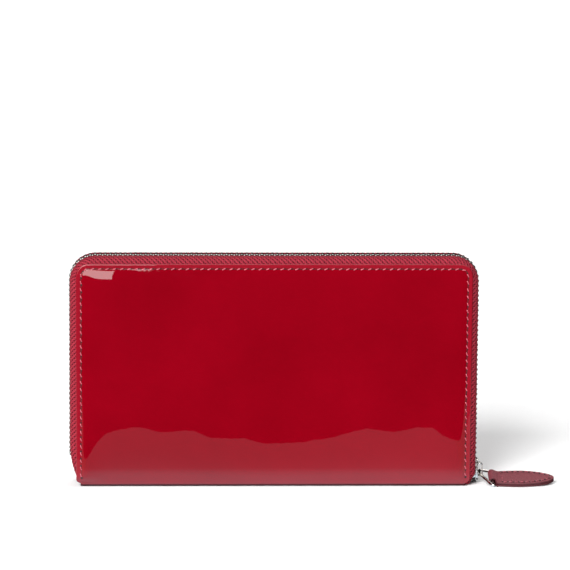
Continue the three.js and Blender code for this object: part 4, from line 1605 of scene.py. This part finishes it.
@dataclass
class HalfInside:
    """The lining and card tiers of one half."""

    side: Side
    tiers: int = 3
    slot_seam: float = 9 * MM

    def build(self, finishes: Finishes) -> None:
        """Builds the lining, the tiers and their sewing, and finishes the board.

        Args:
            finishes: the materials.
        """
        label, facing = self.side.label, -self.side.value
        SoftPanel(f"{label}_lining", upper=6 * MM, lower=2 * MM).build(
            f"{label}_lining_sheet", finishes.lining, self.side.body, "lining_leather", facing)
        for tier in range(1, self.tiers + 1):
            node = f"{label}_card_tier_{tier}"
            SoftPanel(node, upper=1.2 * MM, edge=0.22 * MM).build(
                f"{label}_card_slots_{tier}", finishes.lining, self.side.body, "lining_leather", facing)
            self.divide(node, tier, facing, finishes)
        board = frame["nodes"][f"{label}_board"]
        board.data.materials.clear()
        board.data.materials.append(finishes.board)

    def divide(self, node: str, tier: int, facing: int, finishes: Finishes) -> None:
        """Sews the middle line that parts a tier's two slots.

        Args:
            node: the tier's CAD node.
            tier: its number.
            facing: the sign of Y that the tier's visible face looks to.
            finishes: the materials.
        """
        low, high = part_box(node)
        face = high[1] if facing > 0 else low[1]
        foot = high[2] - self.slot_seam
        seam = Seam(pitch=2.6 * MM, length=2.0 * MM, radius=0.14 * MM, slant=0.2 * MM, hole=0.2 * MM)
        spots, _ = seam.places(np.array([(0, face, foot), (0, face, high[2] - 0.8 * MM)]))
        count = len(spots)
        up = np.broadcast_to(np.array([0.0, 0.0, 1.0]), (count, 3))
        out = np.broadcast_to(np.array([0.0, float(facing), 0.0]), (count, 3))
        seam.build(f"{self.side.label}_slot_seam_{tier}", spots, up, out, finishes.thread, finishes.hole,
                   self.side.body, "lining_leather")


@dataclass
class CoinPocket:
    """The zipped pocket in the middle, with its own small zip and metal pull."""

    pitch: float = 1.6 * MM

    def build(self, finishes: Finishes) -> None:
        """Builds the walls, facing, bound edge, zip, slider, pull and the lining below them.

        Args:
            finishes: the materials.
        """
        body = "coin_pocket"
        for label, facing in (("front", -1), ("rear", 1)):
            wall = SoftPanel(f"coin_pocket_{label}_wall").build(
                f"pocket_{label}_cloth", finishes.pocket, body, "pocket_cloth", facing)
        SoftPanel("coin_pocket_facing", crease=1.2 * MM).build(
            "pocket_facing_leather", finishes.lining, body, "lining_leather", -1)
        for label in ("lower", "upper"):
            SoftPanel(f"coin_zip_{label}_tape", edge=0.12 * MM, crease_depth=0.02 * MM).build(
                f"coin_{label}_tape", finishes.tape, body, "zip_cloth", -1)
        self.bind(finishes)
        self.teeth(finishes)
        self.slider(finishes)
        self.spine_lining(finishes)

    def spine_lining(self, finishes: Finishes) -> None:
        """Lays the lining along the spine, with a rounded edge down each side.

        Args:
            finishes: the materials.
        """
        low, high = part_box("spine_lining")
        fine = np.array([0, 0.06, 0.15, 0.3, 0.6, 1.2]) * MM
        across = np.concatenate([fine, np.linspace(fine[-1], high[1] - low[1] - fine[-1], 9)[1:-1],
                                 (high[1] - low[1] - fine)[::-1]]) + low[1]
        x, y = np.meshgrid(np.linspace(low[0], high[0], 90), across)
        drop = roundover(np.minimum(y - low[1], high[1] - y), 0.2 * MM)
        wave = 0.03 * MM * np.sin(x / MM / 6.3)
        top = np.stack([x, y, high[2] - drop + wave], axis=2)
        under = np.stack([x, y, low[2] + drop], axis=2)
        sheet = shell("spine_lining_sheet", top, under)
        dress(sheet, finishes.lining, "coin_pocket", "lining_leather", "spine_lining")

    def bind(self, finishes: Finishes) -> None:
        """Builds the bound edge: a flat band with a rounded section carried round the pocket.

        Args:
            finishes: the materials.
        """
        low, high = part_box("coin_pocket_binding")
        corner = 1.2 * MM
        quarter = quarter_round(corner, 6)
        half_x, half_z = high[0] - corner, (high[2] - low[2]) / 2 - corner
        turns = []
        for sx, sz, flip in ((1, 1, 1), (-1, 1, -1), (-1, -1, 1), (1, -1, -1)):
            turns.append((quarter[::flip] + (half_x, half_z)) * (sx, sz))
        path = np.concatenate(turns)
        closed = np.concatenate([path, path[:1]])
        run = run_of(closed)
        at = np.unique(np.concatenate([run[:-1], np.arange(0, run[-1] - 1 * MM, 2.5 * MM)]))
        path = sampled(closed, at)
        tangent = unit(np.roll(path, -1, axis=0) - np.roll(path, 1, axis=0))
        out = tangent[:, ::-1] * (1, -1)
        turn = np.linspace(0, 2 * np.pi, 25)[:-1]
        power = 0.35
        depth = high[1] * np.sign(np.cos(turn)) * np.abs(np.cos(turn)) ** power
        rise = 0.35 * MM * np.sign(np.sin(turn)) * np.abs(np.sin(turn)) ** power
        pucker = 1 + 0.04 * np.sin(at / MM * 2.1)[:, None]
        flat = path[:, None] + out[:, None] * (rise[None] * pucker - 0.35 * MM)[..., None]
        verts = np.stack([
            flat[..., 0],
            np.broadcast_to(depth[None], flat.shape[:2]),
            flat[..., 1] + (low[2] + high[2]) / 2,
        ], axis=2)
        band = mesh_object("pocket_bound_edge", verts.reshape(-1, 3),
                           grid_quads(len(path), len(turn), loop_rows=True, loop_cols=True))
        dress(band, finishes.lining, "coin_pocket", "lining_leather", "coin_pocket_binding")

    def teeth(self, finishes: Finishes) -> None:
        """Sets the small zip's teeth in two rows that take turns, and its stop.

        Args:
            finishes: the materials.
        """
        low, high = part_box("coin_zip_chain")
        middle = np.add(low, high) / 2
        half = (high[1] - low[1]) / 2 / MM
        places = np.arange(low[0] + 0.5 * MM, high[0] - 0.4 * MM, self.pitch / 2)
        rows = np.where(np.arange(len(places)) % 2, 1.0, -1.0)
        base, faces = loft([(1.6, 0.34, half * 0.7), (1.45, 0.44, half), (0.8, 0.44, half),
                            (0.5, 0.3, half * 0.8), (0.0, 0.32, half * 0.8), (-0.35, 0.36, half * 0.8),
                            (-0.5, 0.26, half * 0.6)])
        zero = np.zeros(len(places))
        along = np.stack([zero + 1, zero, zero], axis=1)
        inwards = np.stack([zero, zero, rows], axis=1)
        axes = np.stack([along, inwards, np.cross(along, inwards)], axis=1)
        spots = np.stack([places, zero + middle[1], zero + middle[2]], axis=1)
        teeth = copies("coin_teeth", base, faces, axes, spots)
        dress(teeth, finishes.teeth, "coin_pocket", "zip_metal", "coin_zip_chain")
        end_stop("coin_end_stop", "coin_zip_bottom_stop", 0.2 * MM, "coin_pocket", finishes)

    def slider(self, finishes: Finishes) -> None:
        """Builds the small slider with its bail, and the metal pull.

        Args:
            finishes: the materials.
        """
        low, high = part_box("coin_slider")
        middle = np.add(low, high) / 2
        half_x, half_z = (high[0] - low[0]) / 2, (high[2] - low[2]) / 2
        corner = 1.1 * MM
        quarter = quarter_round(corner, 6) + (half_x - corner, half_z - corner)
        outline = np.concatenate([quarter, quarter[::-1] * (-1, 1), -quarter, quarter[::-1] * (1, -1)])
        outline = outline + (middle[0], middle[2])
        tape = float(np.mean([corner[1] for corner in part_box("coin_zip_lower_tape")]))
        parts = []
        for face in (-1, 1):
            near, far = tape + face * 0.75 * MM, tape + face * 1.25 * MM
            parts.append(prism("plate", outline, *sorted((near, far)), 0.15 * MM, (0, 2, 1)))
            for edge in (-1, 1):
                level = middle[2] + edge * 2.4 * MM
                wall = rounded_box(middle[0], half_x - 0.8 * MM, level - 0.28 * MM, level + 0.28 * MM)
                inner, outer = tape + face * 0.35 * MM, tape + face * 0.85 * MM
                parts.append(prism("flange", wall, *sorted((inner, outer)), 0.08 * MM, (0, 2, 1)))
        post = rounded_box(high[0] - 0.85 * MM, 0.55 * MM, middle[2] - 0.6 * MM, middle[2] + 0.6 * MM)
        parts.append(prism("post", post, tape - 0.85 * MM, tape + 0.85 * MM, 0.1 * MM, (0, 2, 1)))
        body = join("coin_slider_body", *parts)
        dress(body, finishes.nickel, "coin_slider", "zip_metal", "coin_slider")
        bend = np.linspace(0, np.pi, 13)
        base, crown = tape - 1.15 * MM, low[1] + 0.25 * MM
        arch = np.stack([middle[0] - 1.9 * MM * np.cos(bend),
                         base + (crown - base) * np.abs(np.sin(bend)) ** 0.45], axis=1)
        bail = bent_strip("coin_bail", arch, 0.6 * MM, 0.5 * MM, 2)
        bail.data.transform(Matrix.Translation((0, 0, middle[2])))
        dress(bail, finishes.nickel, "coin_slider", "zip_metal")
        self.pull(finishes)

    def pull(self, finishes: Finishes) -> None:
        """Builds the small metal pull: a tongue with an eye, as a grid with a hole in it.

        Args:
            finishes: the materials.
        """
        low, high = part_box("coin_pull")
        middle = (low[2] + high[2]) / 2
        right = high[0]
        turn = np.linspace(np.pi / 2, np.pi * 3 / 2, 25)
        tip = low[0] + 1.9 * MM
        count = 64
        edge = np.concatenate([
            [(right, 1.9 * MM), (right - 4.5 * MM, 1.95 * MM), (right - 8 * MM, 1.5 * MM)],
            np.stack([tip + 1.8 * MM * np.cos(turn), 1.75 * MM * np.sin(turn)], axis=1),
            [(right - 8 * MM, -1.5 * MM), (right - 4.5 * MM, -1.95 * MM), (right, -1.9 * MM)],
        ])
        outside = resample(edge, count)
        eye = np.array([
            (right - 1.25 * MM, 1.25 * MM), (right - 3.8 * MM, 1.25 * MM),
            (right - 3.8 * MM, -1.25 * MM), (right - 1.25 * MM, -1.25 * MM),
        ])
        inside = resample(eye, count)
        t = np.array([0, 0.02, 0.06, 0.5, 0.94, 0.98, 1])[:, None, None]
        flat = outside[None] * (1 - t) + inside[None] * t
        fall = np.array([0.2, 0.06, 0, -0.02, 0, 0.06, 0.2])[:, None] * MM
        depth = (high[1] - low[1]) / 2
        layers = []
        for sign in (-1, 1):
            y = (low[1] + high[1]) / 2 + sign * (depth - fall) + 0 * flat[..., 0]
            layers.append(np.stack([flat[..., 0], y, flat[..., 1] + middle], axis=2))
        verts = np.concatenate([layers[0], layers[1][::-1]]).reshape(-1, 3)
        tongue = mesh_object("coin_pull_tongue", verts, grid_quads(14, count, loop_rows=True, loop_cols=True))
        dress(tongue, finishes.nickel, "coin_pull", "zip_metal", "coin_pull")


def resample(path: Array, count: int) -> Array:
    """Evenly spaced points round a closed outline, starting at its first point.

    Args:
        path: the outline's points, n by 2.
        count: how many points to return.

    Returns:
        The points.
    """
    closed = np.concatenate([path, path[:1]])
    return sampled(closed, np.linspace(0, run_of(closed)[-1], count, endpoint=False))


@dataclass
class Gusset:
    """A folded strip of cloth at one end of one note compartment."""

    side: Side
    end: End
    thickness: float = 0.4 * MM
    reach: float = 19 * MM

    def build(self, finishes: Finishes) -> None:
        """Carries the fold's line up the compartment and bends it across the cover's joint.

        Args:
            finishes: the materials.
        """
        name = f"{self.side.label}_{self.end.name.lower()}_gusset"
        low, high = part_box(name)
        far = max(abs(low[0]), abs(high[0]))
        shallow, deep = sorted(np.abs([low[1], high[1]]))
        t = self.thickness / 2
        cover, inner = deep - t, shallow + t
        edge = far - 2.4 * MM
        apex = edge - self.reach
        outer = inner + 1.3 * MM
        turn = (outer - inner) / 2
        angle = np.linspace(np.pi / 2, np.pi * 1.5, 11)
        line = np.concatenate([
            [(far, cover), (edge + 0.5 * MM, cover), (edge, cover - 0.5 * MM),
             (edge - 0.2 * MM, outer + 0.5 * MM), (edge - 0.8 * MM, outer)],
            np.stack([apex + turn * np.cos(angle), inner + turn + turn * np.sin(angle)], axis=1),
            [(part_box("coin_pocket_front_wall")[1][0] - 0.4 * MM, inner)],
        ])
        run = run_of(line)
        at = np.unique(np.concatenate([run, np.linspace(0, run[-1], 40)]))
        line = sampled(line, at)
        _, normal = sideways(line)
        z = np.linspace(low[2], high[2], 40)
        ripple = 0.05 * MM * np.sin(z / MM / 4.1)[:, None] * np.sin(at / MM / 3)[None]
        faces = []
        for offset in (t, -t):
            flat = line[None] + normal[None] * (offset + ripple)[..., None]
            faces.append(np.stack([
                self.end.value * flat[..., 0], self.side.value * flat[..., 1],
                np.broadcast_to(z[:, None], flat.shape[:2]),
            ], axis=2))
        cloth = shell(f"{name}_cloth", faces[0], faces[1])
        dress(cloth, finishes.pocket, "coin_pocket", "pocket_cloth", name, ride=False)
        self.side.body
        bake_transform(cloth)


# ---------- studio ----------


def towards(azimuth: float, elevation: float) -> Vector:
    """The unit direction at an angle to the right of the front and an angle above the floor."""
    return Vector((math.sin(azimuth) * math.cos(elevation), -math.cos(azimuth) * math.cos(elevation),
                   math.sin(elevation)))


@dataclass
class Studio:
    """Floor, lights and camera."""

    azimuth: float = math.radians(-2.0)
    elevation: float = math.radians(12.3)
    distance: float = 2.0
    lens: float = 264.5
    roll: float = math.radians(0.45)
    middle: tuple[float, float, float] = (0, 0, 0.055)
    shift: tuple[float, float] = (0.0052, 0.0405)

    def flat(self, name: str, size: tuple[float, float], at: tuple[float, float, float]) -> bpy.types.Object:
        """A level rectangle."""
        w, d = size[0] / 2, size[1] / 2
        verts = np.array([(-w, -d, 0), (w, -d, 0), (w, d, 0), (-w, d, 0)], float) + at
        return mesh_object(name, verts, np.array([[0, 1, 2, 3]]), smooth=False)

    def floor(self) -> None:
        """A wide pale floor."""
        ground = self.flat("floor", (9, 9), (0, 0, 0))
        nodes = Nodes("pale_floor")
        paper = nodes.noise(nodes.place(), 400, 2)
        nodes.surface(Base_Color=nodes.ramp(paper, [(0, (0.86, 0.86, 0.86)), (1, (0.9, 0.9, 0.9))]),
                      Roughness=0.6, Specular_IOR_Level=0.3)
        ground.data.materials.append(nodes.material)
        ground.visible_glossy = False

    def cards(self) -> None:
        """The bright things that the leather and the metal mirror: glowing sheets that paint the
        floor's reflection round the wallet, two soft boxes on the left and one overhead."""
        near = -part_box("front_cover")[0][1]
        reach = 0.150
        # The four flat sheets glow as a painted reflection of the floor; the front one is tinted blue.
        for name, x, y, width, tint in (("front_sheet", 0, -1, 0.212, (0.86, 1.0, 1.16)),
                                        ("left_sheet", -0.226, -1, 0.24, (1, 1, 1)),
                                        ("right_sheet", 0.226, -1, 0.24, (1, 1, 1)),
                                        ("rear_sheet", 0, 1, 0.692, (1, 1, 1))):
            self.glossy_card(name, (x, y * (near + reach / 2), 0.0002), (width, reach), (0, 0, 0),
                             self.sheet_glow(near), tint)
        self.glossy_card("low_softbox", (-0.645, -1.5, 0.55), (1.2, 1.1), (math.radians(90), 0, 0), 6.5)
        self.glossy_card("high_softbox", (-0.7, -1.0, 1.1), (1.0, 0.7),
                         (math.radians(45), 0, math.radians(-30)), 11.0)
        self.glossy_card("overhead", (0.3, 0.1, 1.5), (2.4, 1.6), (0, 0, 0), 3.0)

    def sheet_glow(self, near: float) -> Callable[[Nodes], bpy.types.NodeSocket]:
        """How bright the glowing sheets that stand in for the mirrored floor are: a painted contact
        shadow where the wallet touches it, brightest a little beyond, then falling off as a
        decaying exponential of the distance.

        Args:
            near: how far in Y the wallet's face is from the middle.

        Returns:
            A function that adds the brightness to a node tree and returns its output.
        """
        def add(glow: Nodes) -> bpy.types.NodeSocket:
            """Adds the brightness at each point of a sheet."""
            away = glow.math("ABSOLUTE", glow.add("SeparateXYZ", Vector=glow.place()).outputs["Y"])
            gone = glow.math("SUBTRACT", away, near)
            decay = glow.math("EXPONENT", glow.math("MULTIPLY", gone, -1 / 0.020))
            lit = glow.add("MapRange", {"interpolation_type": "SMOOTHSTEP"}, Value=gone)
            lit.inputs["From Max"].default_value = 0.0015
            return glow.math("MULTIPLY", glow.math("MULTIPLY_ADD", decay, 1.15, 0.44), lit.outputs["Result"])
        return add

    def glossy_card(self, name: str, at: tuple[float, float, float], size: tuple[float, float],
                    turn: tuple[float, float, float], strength: object,
                    colour: tuple[float, float, float] = (1, 1, 1)) -> None:
        """A bright sheet that is only seen mirrored in glossy surfaces.

        Args:
            name: the card's name.
            at: its middle.
            size: its width and depth before it is turned.
            turn: its turn about X, Y and Z.
            strength: its brightness, or a function that adds it to the node tree.
            colour: its colour.
        """
        card = self.flat(name, size, (0, 0, 0))
        card.data.transform(Matrix.Translation(at) @ Euler(turn).to_matrix().to_4x4())
        glow = Nodes(name)
        value = strength(glow) if callable(strength) else strength
        glow.surface(Base_Color=(0, 0, 0, 1), Specular_IOR_Level=0.0, Emission_Color=(*colour, 1),
                     Emission_Strength=value)
        card.data.materials.append(glow.material)
        card.visible_camera = False
        card.visible_diffuse = False
        card.visible_shadow = False

    def sun(self, name: str, azimuth: float, elevation: float, strength: float, angle: float) -> None:
        """An even soft light from one direction, which isn't mirrored.

        Args:
            name: the light's name.
            azimuth: degrees to the right of the front that it comes from.
            elevation: degrees above the floor.
            strength: its strength.
            angle: how wide it is in degrees, which softens its shadows.
        """
        source = towards(math.radians(azimuth), math.radians(elevation))
        data = bpy.data.lights.new(name, "SUN")
        data.energy = strength
        data.angle = math.radians(angle)
        lamp = bpy.data.objects.new(name, data)
        lamp.rotation_euler = source.to_track_quat("Z", "Y").to_euler()
        lamp.visible_glossy = False
        bpy.context.scene.collection.objects.link(lamp)

    def world(self) -> None:
        """An even pale surround that lights the floor but isn't mirrored."""
        world = bpy.data.worlds.new("surround")
        world.use_nodes = True
        background = world.node_tree.nodes["Background"]
        background.inputs["Color"].default_value = (1, 1, 1, 1)
        background.inputs["Strength"].default_value = 0.54
        world.cycles_visibility.glossy = False
        bpy.context.scene.world = world

    def camera(self) -> None:
        """A long lens a little to the left and above, with the wallet low in the frame."""
        back = towards(self.azimuth, self.elevation)
        right = Vector((math.cos(self.azimuth), math.sin(self.azimuth), 0))
        up = right.cross(-back)
        middle = Vector(self.middle)
        aim = middle + right * self.shift[0] + up * self.shift[1]
        data = bpy.data.cameras.new("camera")
        data.lens = self.lens
        data.sensor_width = 36
        data.clip_end = 50
        camera = bpy.data.objects.new("camera", data)
        camera.location = middle + back * self.distance
        turn = (aim - camera.location).to_track_quat("-Z", "Y")
        camera.rotation_euler = (turn @ Quaternion((0, 0, 1), self.roll)).to_euler()
        bpy.context.scene.collection.objects.link(camera)
        bpy.context.scene.camera = camera

    def build(self) -> None:
        """Sets up the whole studio."""
        self.camera()
        self.floor()
        self.cards()
        self.world()
        self.sun("key", -28, 31, 4.9, 32)
        self.sun("back", 150, 50, 0.7, 40)
        bpy.context.scene.view_settings.view_transform = "Standard"


def main() -> None:
    """Builds the studio and every sub-assembly in order."""
    logging.basicConfig(level=logging.INFO, format="%(message)s")
    Studio().build()
    finishes = Finishes()
    line = ZipLine()
    for side in Side:
        PatentCover(side).build(finishes)
        ZipTape(side, line).build(finishes)
        ZipTeeth(side, line).build(finishes)
        HalfInside(side).build(finishes)
        for end in End:
            Gusset(side, end).build(finishes)
    ZipSlider().build(finishes)
    BottomStop(line).build(finishes)
    pull = PullFrame()
    PullRing(pull).build(finishes)
    PullTab(pull).build(finishes)
    CoinPocket().build(finishes)


if __name__ == "__main__":
    main()
